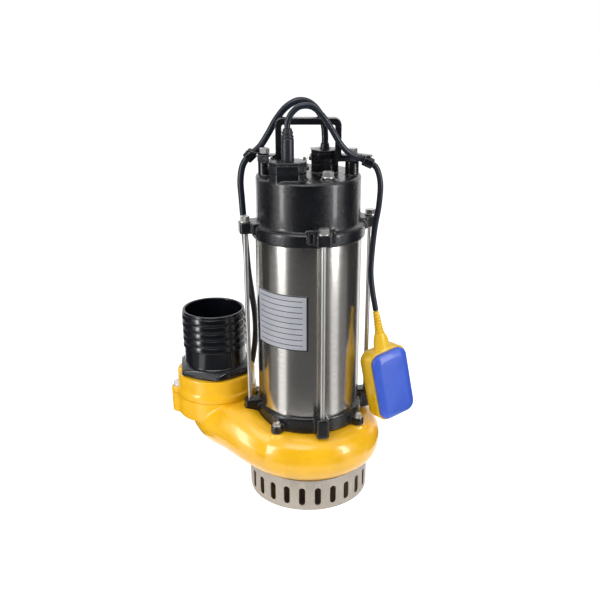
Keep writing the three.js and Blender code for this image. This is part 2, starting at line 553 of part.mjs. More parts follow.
function motorCap() {
  const upper = UPPER_BEARING;
  const pocketR = upper.outer + GAP;
  const ceiling = CAP_TOP - CAP_WALL;
  const cavityR = CAP_R - CAP_WALL;
  const floor = BARREL_TOP + 4;
  const spigotBottom = BARREL_TOP - SPIGOT_HEIGHT;
  const shell = turned([
    [0, CAP_TOP], [CAP_R - 5, CAP_TOP], [CAP_R - 1.5, CAP_TOP - 1.5], [CAP_R, CAP_TOP - 5],
    [CAP_R, BARREL_TOP - SKIRT + BAND_HEIGHT],
    [BAND_R, BARREL_TOP - SKIRT + BAND_HEIGHT - 1], [BAND_R, BARREL_TOP - SKIRT],
    [BARREL_R + GAP, BARREL_TOP - SKIRT],
    [BARREL_R + GAP, BARREL_TOP], [SPIGOT_R, BARREL_TOP], [SPIGOT_R, spigotBottom],
    [pocketR + 9, spigotBottom],
    [pocketR + 7, upper.bottom], [pocketR, upper.bottom], [pocketR, upper.bottom + upper.height + GAP],
    [upper.bore + 3, upper.bottom + upper.height + GAP], [upper.bore + 3, floor], [cavityR, floor],
    [cavityR, ceiling], [0, ceiling],
  ]);
  const lug = union(
    block(-LUG_WIDTH / 2, LUG_WIDTH / 2, -BAND_R - 3, -CAP_R + 1, LUG_BOTTOM, LUG_TOP),
    block(-FOOT_WIDTH / 2 - 2, FOOT_WIDTH / 2 + 2, -TIE_CIRCLE_R - FOOT_REACH, -CAP_R + 1, LUG_BOTTOM,
      LUG_TOP),
  );
  const lugHole = moved(rod(TIE_ROD_R + GAP, LUG_BOTTOM - 10, LUG_TOP + 5, SMALL), 0, -TIE_CIRCLE_R);
  const glandBoss = (gland, r) => {
    const { x, y, base } = gland;
    return [
      moved(raised(glandOutline(gland), CAP_TOP - 3, base), x, y),
      moved(rod(r, ceiling - 5, base + 5, COARSE), x, y),
    ];
  };
  const [floatBoss, floatHole] = glandBoss(FLOAT_GLAND, FLOAT_CORD_R + 3);
  const [powerBoss, powerHole] = glandBoss(POWER_GLAND, POWER_CORD_R + 3);
  const handleBosses = [-1, 1].map((side) => moved(rod(HANDLE_BOSS_R, CAP_TOP - 3, HANDLE_BOSS_TOP),
    side * HANDLE_BOLT_X, HANDLE_Y));
  const handleHoles = [-1, 1].map((side) =>
    moved(rod(HANDLE_BOLT_R + GAP, HANDLE_BOSS_TOP - 16, HANDLE_BOSS_TOP + 5, SMALL), side * HANDLE_BOLT_X,
      HANDLE_Y));
  const plugBoss = moved(rod(10, CAP_TOP - 3, CAP_TOP + 3), ...PLUG_PLACE);
  const plugHole = moved(rod(PLUG_R + GAP, ceiling - 5, CAP_TOP + 8, COARSE), ...PLUG_PLACE);
  const wireHole = moved(rod(7, spigotBottom - 5, floor + 5, SMALL), 0, 50);
  const groove = ring(SPIGOT_R - 2.4, SPIGOT_R + 20, BARREL_TOP - 8, BARREL_TOP - 5);
  const grooveOnly = cut(groove, ring(BARREL_R + GAP, SPIGOT_R + 25, BARREL_TOP - 9, BARREL_TOP - 4));
  return mesh("motor_cap", cut(
    union(shell, ...TIE_ANGLES.map((a) => turnedTo(lug, a)), floatBoss, powerBoss, ...handleBosses,
      plugBoss),
    ...TIE_ANGLES.map((a) => turnedTo(lugHole, a)), floatHole, powerHole, ...handleHoles, plugHole,
    wireHole, grooveOnly,
  ), BLACK_PAINT);
}

function tieBolts() {
  const bottom = FOOT_TOP - TIE_THREAD_DEPTH;
  const bolt = union(
    rod(TIE_ROD_R, bottom, LUG_TOP + 3, SMALL), rod(8.5, LUG_TOP, LUG_TOP + 1.6, COARSE),
    raised(hexagon(13), LUG_TOP + 1.6, LUG_TOP + 8.6),
  );
  return TIE_ANGLES.map((angle, i) => mesh(`tie_bolt_${i + 1}`,
    turnedTo(moved(bolt, 0, -TIE_CIRCLE_R), angle), ZINC));
}

function capPlug() {
  const seat = CAP_TOP + 3;
  const plug = union(
    rod(PLUG_R, CAP_TOP - CAP_WALL, seat + 2, COARSE), rod(9, seat, seat + 1.8, COARSE),
    raised(hexagon(14), seat + 1.8, seat + 9),
  );
  return mesh("cap_plug", moved(plug, ...PLUG_PLACE), ZINC);
}

function capacitor() {
  const z0 = BARREL_TOP + 4;
  return mesh("run_capacitor", moved(rod(20, z0, z0 + 62), -38, 22), BLACK_PLASTIC);
}

// ---- Cable glands
function gland(name, place, r) {
  const { x, y, width, base, top } = place;
  const ears = [-1, 1].map((side) => moved(rod(5.5, base, base + 5, COARSE), side * (width / 2 - 2),
    place.depth / 2 - 3));
  const body = union(raised(glandOutline(place), base, top), ...ears);
  return mesh(name, moved(cut(body, rod(r + GAP, base - 5, top + 5)), x, y), BLACK_PAINT);
}

const FLOAT_BOOT_TOP = FLOAT_GLAND.top + 44;
const POWER_BOOT_TOP = POWER_GLAND.top + 8;
const BOOT_R = 9;
const POWER_BOOT_R = 8;

function cableBoots() {
  const float = turned([
    [0, FLOAT_GLAND.base], [BOOT_R, FLOAT_GLAND.base], [BOOT_R, FLOAT_BOOT_TOP - 14],
    [FLOAT_CORD_R + 2, FLOAT_BOOT_TOP], [0, FLOAT_BOOT_TOP],
  ], COARSE);
  const power = turned([
    [0, POWER_GLAND.base], [POWER_BOOT_R, POWER_GLAND.base], [POWER_BOOT_R, POWER_GLAND.top + 2],
    [POWER_CORD_R + 1, POWER_BOOT_TOP], [0, POWER_BOOT_TOP],
  ], COARSE);
  return [
    mesh("float_cable_boot", moved(float, FLOAT_GLAND.x, FLOAT_GLAND.y), RUBBER),
    mesh("power_cable_boot", moved(power, POWER_GLAND.x, POWER_GLAND.y), RUBBER),
  ];
}

// ---- Handle
const STRAP = 9;
const STRAP_WIDTH = 18;
const FOOT_LENGTH = 26;
const CLIP_TAB = 2;

function handle() {
  const outer = HANDLE_SPAN / 2;
  const foot = outer + FOOT_LENGTH;
  const bend = 9;
  const seat = HANDLE_BOSS_TOP;
  const shape = new THREE.Shape();
  shape.moveTo(-foot, seat).lineTo(-outer + STRAP, seat).lineTo(-outer + STRAP, HANDLE_TOP - STRAP);
  shape.lineTo(outer - STRAP, HANDLE_TOP - STRAP).lineTo(outer - STRAP, seat).lineTo(foot, seat);
  shape.lineTo(foot, seat + STRAP).lineTo(outer, seat + STRAP);
  shape.lineTo(outer, HANDLE_TOP - bend).absarc(outer - bend, HANDLE_TOP - bend, bend, 0, Math.PI / 2);
  shape.lineTo(-outer + bend, HANDLE_TOP).absarc(-outer + bend, HANDLE_TOP - bend, bend, Math.PI / 2,
    Math.PI);
  shape.lineTo(-outer, seat + STRAP).lineTo(-foot, seat + STRAP);
  const strap = moved(raised(shape, -STRAP_WIDTH / 2, STRAP_WIDTH / 2).rotate([90, 0, 0]), 0, HANDLE_Y);
  const holes = [-1, 1].map((side) =>
    moved(rod(HANDLE_BOLT_R + GAP, seat - 5, seat + STRAP + 5, SMALL), side * HANDLE_BOLT_X, HANDLE_Y));
  return mesh("handle", cut(strap, ...holes), BLACK_PAINT);
}

function handleBolts() {
  const seat = HANDLE_BOSS_TOP + STRAP + CLIP_TAB;
  const bolt = union(rod(HANDLE_BOLT_R, HANDLE_BOSS_TOP - 15, seat + 2, SMALL),
    raised(hexagon(13), seat, seat + 7));
  return [-1, 1].map((side, i) => mesh(`handle_bolt_${i + 1}`, moved(bolt, side * HANDLE_BOLT_X, HANDLE_Y),
    ZINC));
}

// ---- Cable clips: a band around the cable, on a tab that the handle's bolt holds
const CLIP_X = 85;
// Each clip's place, and how far its cable slopes down through it, in degrees.
const CLIP_LEFT = { x: -CLIP_X, y: 10, z: HANDLE_BOSS_TOP + 4, slope: 44 };
const CLIP_RIGHT = { x: CLIP_X, y: -25, z: HANDLE_BOSS_TOP + 1, slope: 25 };
const CLIP_GAP = 0.9;
const CLIP_WALL = 2.5;
const CLIP_LENGTH = 15;
const CLIP_TAB_R = 6;

function cableClip(name, { x, y, z, slope }, cordR) {
  const inner = cordR + CLIP_GAP;
  const side = Math.sign(x);
  const tabZ = HANDLE_BOSS_TOP + STRAP;
  const bolt = [side * HANDLE_BOLT_X, HANDLE_Y];
  const [dx, dy] = [x - bolt[0], y - bolt[1]];
  const reach = Math.hypot(dx, dy);
  const tab = roundedRectangle(reach + 2 * CLIP_TAB_R, 2 * CLIP_TAB_R, CLIP_TAB_R - 0.01);
  const turn = (Math.atan2(dy, dx) * 180) / Math.PI;
  const plate = moved(raised(tab, tabZ, tabZ + CLIP_TAB).rotate([0, 0, turn]), bolt[0] + dx / 2,
    bolt[1] + dy / 2);
  const along = (r, length) => moved(rod(r, -length / 2, length / 2).rotate([0, 90 + side * slope, 0]), x,
    y, z);
  const riser = block(x - 3, x + 3, y - 3, y + 3, z + inner, tabZ + CLIP_TAB);
  const boltHole = moved(rod(HANDLE_BOLT_R + GAP, tabZ - 5, tabZ + 10, SMALL), ...bolt);
  return mesh(name, cut(
    union(along(inner + CLIP_WALL, CLIP_LENGTH), plate, riser), boltHole, along(inner, 4 * CLIP_LENGTH),
  ), BLACK_PLASTIC);
}

// ---- Cables
const FLOAT_PIVOT = [104, -26, CAP_TOP - 208];
const BOOT_TIP_R = FLOAT_CORD_R + 0.7; // the boot's round tip turns about the float's pivot
const BOOT_TIP_GAP = 0.8;
const FLOAT_LEAN = 11; // degrees that the float leans outwards as it rests on the volute
// A point above the float's pivot, in line with its boot.
const aboveFloat = (reach) => [
  FLOAT_PIVOT[0] - reach * Math.sin(radians(FLOAT_LEAN)), FLOAT_PIVOT[1],
  FLOAT_PIVOT[2] + reach * Math.cos(radians(FLOAT_LEAN)),
];
const COIL_CENTRE = [-52, 206];
const COIL_OUTER_R = 100;
const COIL_INNER_R = 60;
const COIL_HEIGHT = 41;

const points = (list) => list.map(([x, y, z]) => new THREE.Vector3(x, y, z));

// The routes are drawn for a cap at this height. Where the cap is higher or lower, they follow it.
const DRAWN_CAP_TOP = 520;
const following = (list) => list.map(([x, y, z]) =>
  [x, y, z + (CAP_TOP - DRAWN_CAP_TOP) * Math.min(1, Math.max(0, (z - 20) / 300))]);

const FLOAT_CORD_ROUTE = points([
  [FLOAT_GLAND.x, FLOAT_GLAND.y, FLOAT_BOOT_TOP + GAP], [FLOAT_GLAND.x, FLOAT_GLAND.y, FLOAT_BOOT_TOP + 7],
  ...following([
    [-24, -43, 609], [-12, -43, 619], [4, -42, 619], [18, -40, 608], [31, -37, 590], [44, -34, 569],
    [58, -29, 554], [73, -25, 546.5],
  ]),
  [CLIP_RIGHT.x, CLIP_RIGHT.y, CLIP_RIGHT.z],
  ...following([
    [96, -25, 534], [103, -24, 514], [103, -22, 482], [98, -21, 445], [95, -21, 410], [94, -23, 375],
  ]),
  aboveFloat(32), aboveFloat(18), aboveFloat(BOOT_TIP_R + BOOT_TIP_GAP),
]);
const POWER_CORD_ROUTE = points([
  [POWER_GLAND.x, POWER_GLAND.y, POWER_BOOT_TOP + GAP], [POWER_GLAND.x, POWER_GLAND.y, POWER_BOOT_TOP + 10],
  ...following([
    [22, 14, 588], [14, 14, 606], [0, 14, 618], [-15, 13, 620], [-31, 12, 612], [-46, 11, 595],
    [-58, 10, 575], [-71, 10, 556],
  ]),
  [CLIP_LEFT.x, CLIP_LEFT.y, CLIP_LEFT.z],
  ...following([
    [-95, 10, 532], [-100, 9, 510], [-99, 8, 480], [-97, 7, 445], [-95, 8, 405], [-93, 16, 365],
    [-90, 32, 325], [-88, 56, 285], [-89, 83, 240], [-95, 104, 190], [-106, 117, 140], [-122, 122, 92],
    [-137, 124, 50],
  ]),
  [-146, 130, 20], [-147.5, 143, 7],
  [COIL_CENTRE[0] - COIL_OUTER_R + POWER_CORD_R, COIL_CENTRE[1] - 8.6 * POWER_CORD_R, POWER_CORD_R + 0.4],
]);

function cordTube(name, route, r, steps) {
  const section = new THREE.Shape(Array.from({ length: 8 }, (_, i) =>
    new THREE.Vector2(r * Math.cos((i * Math.PI) / 4), r * Math.sin((i * Math.PI) / 4))));
  const extrudePath = new THREE.CatmullRomCurve3(route);
  const tube = new THREE.ExtrudeGeometry(section, { steps, bevelEnabled: false, extrudePath });
  return mesh(name, solid(tube), CABLE_JACKET);
}

function powerCoil() {
  return mesh("power_cord_coil", moved(ring(COIL_INNER_R, COIL_OUTER_R, 0.4, COIL_HEIGHT, 32),
    ...COIL_CENTRE), CABLE_JACKET);
}

// A two-pin plug on top of the coil, lying on its side.
const PLUG_BODY_R = 17;
const PLUG_REACH = 80; // from the coil's middle towards the pump

function powerPlug() {
  const body = turned([
    [0, 0], [6.5, 0], [8, 18], [14, 24], [PLUG_BODY_R, 32], [PLUG_BODY_R, 52], [0, 52],
  ], COARSE);
  const pin = (x) => moved(rod(2.4, 50, 71, SMALL), x, 0);
  const plug = union(body, pin(-9.5), pin(9.5)).rotate([0, -90, 0]);
  const [x, y] = COIL_CENTRE;
  return mesh("power_plug", moved(plug, x, y - PLUG_REACH, COIL_HEIGHT + PLUG_BODY_R + GAP), BLACK_PLASTIC);
}

// ---- Float switch, drawn hanging from its pivot and facing the front
const FLOAT_YAW = 32;
const FLOAT_WIDTH = 70;
const FLOAT_LENGTH = 116;
const FLOAT_THICKNESS = 42;
const FLOAT_WALL = 3;
const FLOAT_TOP = -58; // below the pivot
const FLOAT_CORNER_R = 18;
const FLOAT_SPLIT = -11; // where the front cover meets the shell
const BOOT_LENGTH = 30;
const BOOT_BASE_R = 8;
const BALL_R = 7.5;
const BALL_TRAVEL = 20;

const floatMiddle = FLOAT_TOP - FLOAT_LENGTH / 2;
// An outline in X and Z, given depth from the back at y1 to the front at y0.
const upright = (shape, y0, y1, z = 0) => moved(raised(shape, -y1, -y0).rotate([90, 0, 0]), 0, 0, z);

function floatShell() {
  const back = FLOAT_THICKNESS / 2;
  const neck = new THREE.Shape();
  neck.moveTo(-20, FLOAT_TOP - 10).lineTo(20, FLOAT_TOP - 10).lineTo(14, FLOAT_TOP + 4);
  neck.lineTo(8, -BOOT_LENGTH - GAP).lineTo(-8, -BOOT_LENGTH - GAP).lineTo(-14, FLOAT_TOP + 4);
  const body = upright(roundedRectangle(FLOAT_WIDTH, FLOAT_LENGTH, FLOAT_CORNER_R), FLOAT_SPLIT, back,
    floatMiddle);
  const inner = [FLOAT_WIDTH - 2 * FLOAT_WALL, FLOAT_LENGTH - 2 * FLOAT_WALL];
  const hollow = upright(
    roundedRectangle(...inner, FLOAT_CORNER_R - FLOAT_WALL), FLOAT_SPLIT - 5, back - FLOAT_WALL,
    floatMiddle);
  return mesh("float_shell", cut(union(body, upright(neck, -9, 9)), hollow), FLOAT_YELLOW);
}

function floatCover() {
  const front = -FLOAT_THICKNESS / 2;
  const plate = (inset, y0, y1) => upright(
    roundedRectangle(FLOAT_WIDTH - inset, FLOAT_LENGTH - inset, FLOAT_CORNER_R - inset / 2), y0, y1,
    floatMiddle);
  return mesh("float_cover", union(plate(6, front + 4, FLOAT_SPLIT), plate(14, front, front + 4)),
    FLOAT_BLUE);
}

function floatParts() {
  const trackTop = floatMiddle + 30;
  const trackBottom = trackTop - BALL_TRAVEL - 2 * BALL_R - 3;
  const tip = [0, 30, 60].map((degrees) =>
    [BOOT_TIP_R * Math.cos(radians(degrees)), BOOT_TIP_R * Math.sin(radians(degrees))]);
  const boot = turned([[0, -BOOT_LENGTH], [BOOT_BASE_R, -BOOT_LENGTH], ...tip, [0, BOOT_TIP_R]], COARSE);
  const track = cut(rod(BALL_R + 3, trackBottom - 3, trackTop, COARSE),
    rod(BALL_R + RUN_GAP, trackBottom, trackTop + 5, COARSE));
  const unit = union(track, block(-24, 24, -3, 12, trackBottom - 36, trackBottom - 2));
  const seatOfBall = trackBottom + BALL_R + GAP;
  return [
    floatShell(), floatCover(), mesh("float_boot", boot, FLOAT_YELLOW),
    mesh("float_switch_unit", unit, BLACK_PLASTIC),
    mesh("float_ball", moved(solid(new THREE.SphereGeometry(BALL_R, 12, 8)), 0, 0, seatOfBall), STEEL),
  ];
}

function floatSwitch() {
  const faced = new THREE.Group();
  faced.rotation.z = radians(FLOAT_YAW);
  faced.add(...floatParts());
  const hanging = new THREE.Group();
  hanging.position.set(...FLOAT_PIVOT);
  hanging.rotation.y = -radians(FLOAT_LEAN);
  hanging.add(faced);
  return hanging;
}

// ---- Rating plate, bent to the barrel
function ratingPlate() {
  const z0 = BARREL_BOTTOM + 112;
  const sheet = ring(BARREL_R + GAP, BARREL_R + 1, z0, z0 + 86);
  const wedge = new THREE.Shape();
  wedge.moveTo(0, 0).lineTo(...around(150, 0)).lineTo(...around(150, -34)).lineTo(...around(150, -68));
  return mesh("rating_plate", sheet.intersect(raised(wedge, z0 - 5, z0 + 95)), LABEL);
}

const pump = new THREE.Group();
pump.add(
  strainer(), voluteCasing(), wearRing(), ...outlet(), oilChamber(), ...chamberBolts(), ...seals(),
  motorBarrel(),
  ...stator(), ...rotor(), ...bearing("lower", LOWER_BEARING), ...bearing("upper", UPPER_BEARING),
  motorCap(),
  ...tieBolts(), capPlug(), capacitor(), gland("float_gland", FLOAT_GLAND, BOOT_R),
  gland("power_gland", POWER_GLAND, POWER_BOOT_R),
  ...cableBoots(), handle(), ...handleBolts(), cableClip("cable_clip_left", CLIP_LEFT, POWER_CORD_R),
  cableClip("cable_clip_right", CLIP_RIGHT, FLOAT_CORD_R),
  cordTube("float_cord", FLOAT_CORD_ROUTE, FLOAT_CORD_R, 50),
  cordTube("power_cord", POWER_CORD_ROUTE, POWER_CORD_R, 70), powerCoil(), powerPlug(), floatSwitch(),
  ratingPlate(),
);

export default pump;
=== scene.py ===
"""The looks of a submersible sump pump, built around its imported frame.

Everything is in metres in the frame's own axes: +Z up the motor, -Y to the front, +X to the float's side.
"""

import json
import math

import bmesh
import bpy
from mathutils import Matrix, Vector


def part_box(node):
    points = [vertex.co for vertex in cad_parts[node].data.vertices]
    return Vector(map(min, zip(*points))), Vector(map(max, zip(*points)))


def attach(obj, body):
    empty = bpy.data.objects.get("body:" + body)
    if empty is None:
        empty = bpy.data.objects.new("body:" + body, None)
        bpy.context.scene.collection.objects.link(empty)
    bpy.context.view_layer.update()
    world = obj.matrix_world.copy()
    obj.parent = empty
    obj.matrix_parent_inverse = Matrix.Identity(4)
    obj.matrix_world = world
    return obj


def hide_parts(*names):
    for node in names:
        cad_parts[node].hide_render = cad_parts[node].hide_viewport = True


bl_info = {
    "name": "Submersible Sump Pump",
    "version": (1, 0, 0),
    "blender": (4, 5, 0),
    "location": "3D View > Sidebar > Pump",
    "description": "Builds the castings, barrel, outlet, handle, cables and float switch of a sump pump",
    "category": "Object",
}

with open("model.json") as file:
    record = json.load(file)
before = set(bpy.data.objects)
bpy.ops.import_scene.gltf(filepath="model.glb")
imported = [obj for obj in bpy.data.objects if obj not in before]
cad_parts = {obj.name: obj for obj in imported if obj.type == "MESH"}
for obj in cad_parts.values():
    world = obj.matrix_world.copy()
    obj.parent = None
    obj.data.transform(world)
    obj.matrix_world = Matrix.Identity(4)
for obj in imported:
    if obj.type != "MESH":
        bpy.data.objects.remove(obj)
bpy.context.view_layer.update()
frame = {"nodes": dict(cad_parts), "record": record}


def bottom_of(node):
    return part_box(node)[0].z


def top_of(node):
    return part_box(node)[1].z


def radius_of(node):
    """Half of a turned node's width along Y."""
    low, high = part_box(node)
    return (high.y - low.y) / 2


# ---- Sizes that the frame gives
BARREL_R = radius_of("motor_barrel")
BARREL_BOTTOM = bottom_of("motor_barrel")
BARREL_TOP = top_of("motor_barrel")
STRAINER_R = radius_of("strainer")
STRAINER_TOP = top_of("strainer")
HOSE_TOP = top_of("hose_tail")
HANDLE_TOP = top_of("handle")
CASING_BOTTOM = STRAINER_TOP
TIE_ROD_BOTTOM = bottom_of("tie_bolt_1")

# ---- Sizes of the castings
GAP = 0.0003
BARREL_WALL = 0.0015
BAND_R = BARREL_R + 0.005
SPIGOT_R = BARREL_R - BARREL_WALL - GAP
CHAMBER_HEIGHT = 0.026
CASING_TOP = BARREL_BOTTOM - CHAMBER_HEIGHT
CAP_HEIGHT = 0.084
CAP_TOP = BARREL_TOP + CAP_HEIGHT
CAP_R = 0.0775
CAP_WALL = 0.007
STRAINER_WALL = 0.002
CORE_R = 0.075
CASING_R = 0.110
CASING_GROWTH = 0.012
CASING_WALL = 0.007
CASING_OPENING_R = CORE_R - 0.0005
INLET_R = 0.048
OUTLET = Vector((-0.153, 0.040, 0))
COLLAR_R = 0.066
COLLAR_BOTTOM = 0.120
COLLAR_TOP = 0.193
FLANGE_FACE = 0.153
GASKET = 0.002
EAR_TOP = 0.166
EAR_R = 0.011
EAR_ANGLES = (-80, 150)
DUCT_START_R = 0.038
DUCT_END_R = 0.058
TIE_CIRCLE_R = 0.096
TIE_ROD_R = 0.0035
ROD_HOLE_R = TIE_ROD_R + 0.0005
TIE_ANGLES = tuple(13 + 90 * i for i in range(4))
FOOT_TOP = BARREL_BOTTOM + 0.006
FOOT_HALF_WIDTH = 0.010
FOOT_REACH = 0.105
EAR_CIRCLE_R = 0.093
CHAMBER_EAR_R = 0.009
CHAMBER_BOLT_R = 0.003
CHAMBER_EAR_TOP = CASING_TOP + 0.012
CHAMBER_BOLT_ANGLES = tuple(angle - 45 for angle in TIE_ANGLES)
SPIGOT_HEIGHT = 0.012
LUG_BOTTOM = BARREL_TOP + 0.002
LUG_TOP = BARREL_TOP + 0.018
HANDLE_Y = -0.009
HANDLE_BOLT_X = 0.063
HANDLE_SEAT = bottom_of("handle")
STRAP = 0.009
HANDLE_SPAN = 0.094
HANDLE_FOOT = 0.026
PLUG_PLACE = Vector((0.028, -0.046, 0))
FLOAT_GLAND = {"x": -0.029, "y": -0.043, "width": 0.053, "depth": 0.040}
POWER_GLAND = {"x": 0.024, "y": 0.014, "width": 0.040, "depth": 0.036}
FLOAT_PIVOT = Vector((0.104, -0.026, 0.312))
FLOAT_LEAN = 11
FLOAT_YAW = 32

# ---- Cables
FLOAT_CORD_R = 0.0043
POWER_CORD_R = 0.005
COIL_CENTRE = Vector((-0.052, 0.206, 0))
COIL_OUTER_R = 0.095
COIL_LAYERS = 4
FLOAT_CORD_ROUTE = (
    (-0.029, -0.043, 0.5903), (-0.029, -0.043, 0.597), (-0.024, -0.043, 0.609), (-0.012, -0.043, 0.619),
    (0.004, -0.042, 0.619), (0.018, -0.040, 0.608), (0.031, -0.037, 0.590), (0.044, -0.034, 0.569),
    (0.058, -0.029, 0.554), (0.073, -0.025, 0.5465), (0.085, -0.025, 0.541), (0.096, -0.025, 0.534),
    (0.103, -0.024, 0.514), (0.103, -0.022, 0.482), (0.098, -0.021, 0.445), (0.095, -0.021, 0.410),
    (0.094, -0.023, 0.375), (0.0979, -0.026, 0.3434), (0.1006, -0.026, 0.3297), (0.1029, -0.026, 0.3177),
)
POWER_CORD_ROUTE = (
    (0.024, 0.014, 0.5613), (0.024, 0.014, 0.571), (0.022, 0.014, 0.588), (0.014, 0.014, 0.606),
    (0.000, 0.014, 0.618), (-0.015, 0.013, 0.620), (-0.031, 0.012, 0.612), (-0.046, 0.011, 0.595),
    (-0.058, 0.010, 0.575), (-0.071, 0.010, 0.556), (-0.085, 0.010, 0.544), (-0.095, 0.010, 0.532),
    (-0.100, 0.009, 0.510), (-0.099, 0.008, 0.480), (-0.097, 0.007, 0.445), (-0.095, 0.008, 0.405),
    (-0.093, 0.016, 0.365), (-0.090, 0.032, 0.325), (-0.088, 0.056, 0.285), (-0.089, 0.083, 0.240),
    (-0.095, 0.104, 0.190), (-0.106, 0.117, 0.140), (-0.122, 0.122, 0.092), (-0.137, 0.124, 0.050),
    (-0.146, 0.130, 0.020), (-0.1475, 0.143, 0.007), (-0.147, 0.163, 0.0054),
)

# ---- Studio
TALL_LAMP_PLACE = (1.25, -0.78, 0.62)
TALL_LAMP_SIZE = (0.26, 1.1)
TOP_LAMP_PLACE = (-0.35, -0.9, 2.0)
TOP_LAMP_SIZE = (1.2, 1.0)
TOP_LAMP_POWER = 10.0
LAMP_AIM = (0, 0, 0.33)
ROOM_LIGHT = 0.5
FLOOR_GLOW = 0.72
FLOOR_CARDS = (
    (-48, 48, 0.30, 0.13), (-67, -48, 0.30, 1.5), (48, 66, 0.30, 1.1), (-90, -67, 0.28, 0.26),
    (66, 90, 0.28, 0.24), (-134, -90, 0.24, 0.05), (90, 134, 0.24, 0.05),
)

# ---- Camera
CAMERA_PLACE = Vector((0, -1.266, 0.7745))
CAMERA_PITCH = 24.8
CAMERA_FOCAL = 51.65
CAMERA_SHIFT = (-0.014, 0.1315)


# ---------------------------------------------------------------- outlines and solids

def around(radius, degrees, height=0.0):
    """A place at an angle from the front, turning towards +X."""
    angle = math.radians(degrees)
    return Vector((radius * math.sin(angle), -radius * math.cos(angle), height))


def turned_to(degrees):
    return Matrix.Rotation(math.radians(degrees), 4, "Z")


def filleted(corners, closed=True, arc_step=0.26):
    """An outline whose (x, y, radius) corners are rounded; a corner with no radius stays sharp."""
    points = []
    for i, corner in enumerate(corners):
        here = Vector(corner[:2])
        radius = corner[2] if len(corner) > 2 else 0
        if radius <= 0 or (not closed and i in (0, len(corners) - 1)):
            points.append(here)
            continue
        back = Vector(corners[i - 1][:2]) - here
        ahead = Vector(corners[(i + 1) % len(corners)][:2]) - here
        half = back.angle(ahead) / 2
        reach = min(radius / math.tan(half), 0.49 * back.length, 0.49 * ahead.length)
        start = here + back.normalized() * reach
        end = here + ahead.normalized() * reach
        middle = (back.normalized() + ahead.normalized()).normalized()
        centre = here + middle * (reach / math.cos(half))
        arm = start - centre
        sweep = (math.pi - 2 * half) * (1 if arm.cross(end - centre) > 0 else -1)
        steps = max(2, math.ceil(abs(sweep) / arc_step))
        for k in range(steps + 1):
            c, s = math.cos(sweep * k / steps), math.sin(sweep * k / steps)
            points.append(centre + Vector((arm.x * c - arm.y * s, arm.x * s + arm.y * c)))
    return points


def rounded_rectangle(width, height, radius, arc_step=0.2):
    x, y = width / 2, height / 2
    corners = ((-x, -y), (x, -y), (x, y), (-x, y))
    return filleted([(*corner, radius) for corner in corners], arc_step=arc_step)


def made(name, bm):
    """An object from a bmesh, with its faces pointing out."""
    bmesh.ops.recalc_face_normals(bm, faces=bm.faces)
    data = bpy.data.meshes.new(name)
    bm.to_mesh(data)
    bm.free()
    thing = bpy.data.objects.new(name, data)
    bpy.context.scene.collection.objects.link(thing)
    return thing


def skinned(name, loops, closed=False):
    """A skin over loops of points; it closes on itself, or has a flat face at both ends."""
    bm = bmesh.new()
    rings = [[bm.verts.new(point) for point in loop] for loop in loops]
    pairs = list(zip(rings, rings[1:]))
    if closed:
        pairs.append((rings[-1], rings[0]))
    for low, high in pairs:
        count = max(len(low), len(high))
        for j in range(count):
            k = (j + 1) % count
            corners = (low[j % len(low)], low[k % len(low)], high[k % len(high)], high[j % len(high)])
            face = list(dict.fromkeys(corners))
            if len(face) > 2:
                bm.faces.new(face)
    if not closed:
        for ring in (rings[0], rings[-1]):
            if len(ring) > 2:
                bm.faces.new(ring)
    return made(name, bm)


def spun(name, profile, place=(0, 0), segments=144):
    """A solid turned about +Z from (radius, height) points, on the axis or closed on itself."""
    loops = []
    for radius, height in profile:
        count = 1 if radius < 1e-7 else segments
        angles = [2 * math.pi * j / count for j in range(count)]
        loops.append([
            (place[0] + radius * math.cos(a), place[1] + radius * math.sin(a), height) for a in angles
        ])
    on_axis = profile[0][0] < 1e-7 and profile[-1][0] < 1e-7
    return skinned(name, loops, closed=not on_axis)


def disc(name, radius, low, high, place=(0, 0), edge=0.0, segments=96):
    corners = [(0, low), (radius, low, edge), (radius, high, edge), (0, high)]
    return spun(name, filleted(corners, closed=False), place, segments)


def ring(name, inner, outer, low, high, place=(0, 0), edge=0.0, segments=144):
    corners = [(inner, low, edge), (outer, low, edge), (outer, high, edge), (inner, high, edge)]
    return spun(name, filleted(corners), place, segments)


def prism(name, outline, low, high, matrix=Matrix.Identity(4)):
    """An outline in X and Y, raised from low to high and then moved by a matrix."""
    loops = [[matrix @ Vector((p[0], p[1], height)) for p in outline] for height in (low, high)]
    return skinned(name, loops)


def block(name, low, high, matrix=Matrix.Identity(4)):
    outline = ((low[0], low[1]), (high[0], low[1]), (high[0], high[1]), (low[0], high[1]))
    return prism(name, outline, low[2], high[2], matrix)


def hexagonal(name, across, low, high, place=(0, 0), turn=0.0, sides_per_flat=8):
    """A hexagon head whose corners are chamfered by a cone, as a turned bolt head is."""
    flat = across / 2
    loops = [[], [], [], []]
    for j in range(6 * sides_per_flat):
        angle = 2 * math.pi * j / (6 * sides_per_flat)
        reach = flat / math.cos((angle + math.pi / 6) % (math.pi / 3) - math.pi / 6)
        drop = (reach - 0.97 * flat) * 0.6
        across_top = 0.97 * flat
        way = Vector((math.cos(angle + turn), math.sin(angle + turn)))
        for loop, radius, height in zip(
            loops, (0.97 * flat, reach, reach, across_top),
            (low, low + 0.2 * drop, high - drop, high),
        ):
            loop.append((place[0] + way.x * radius, place[1] + way.y * radius, height))
    return skinned(name, loops)


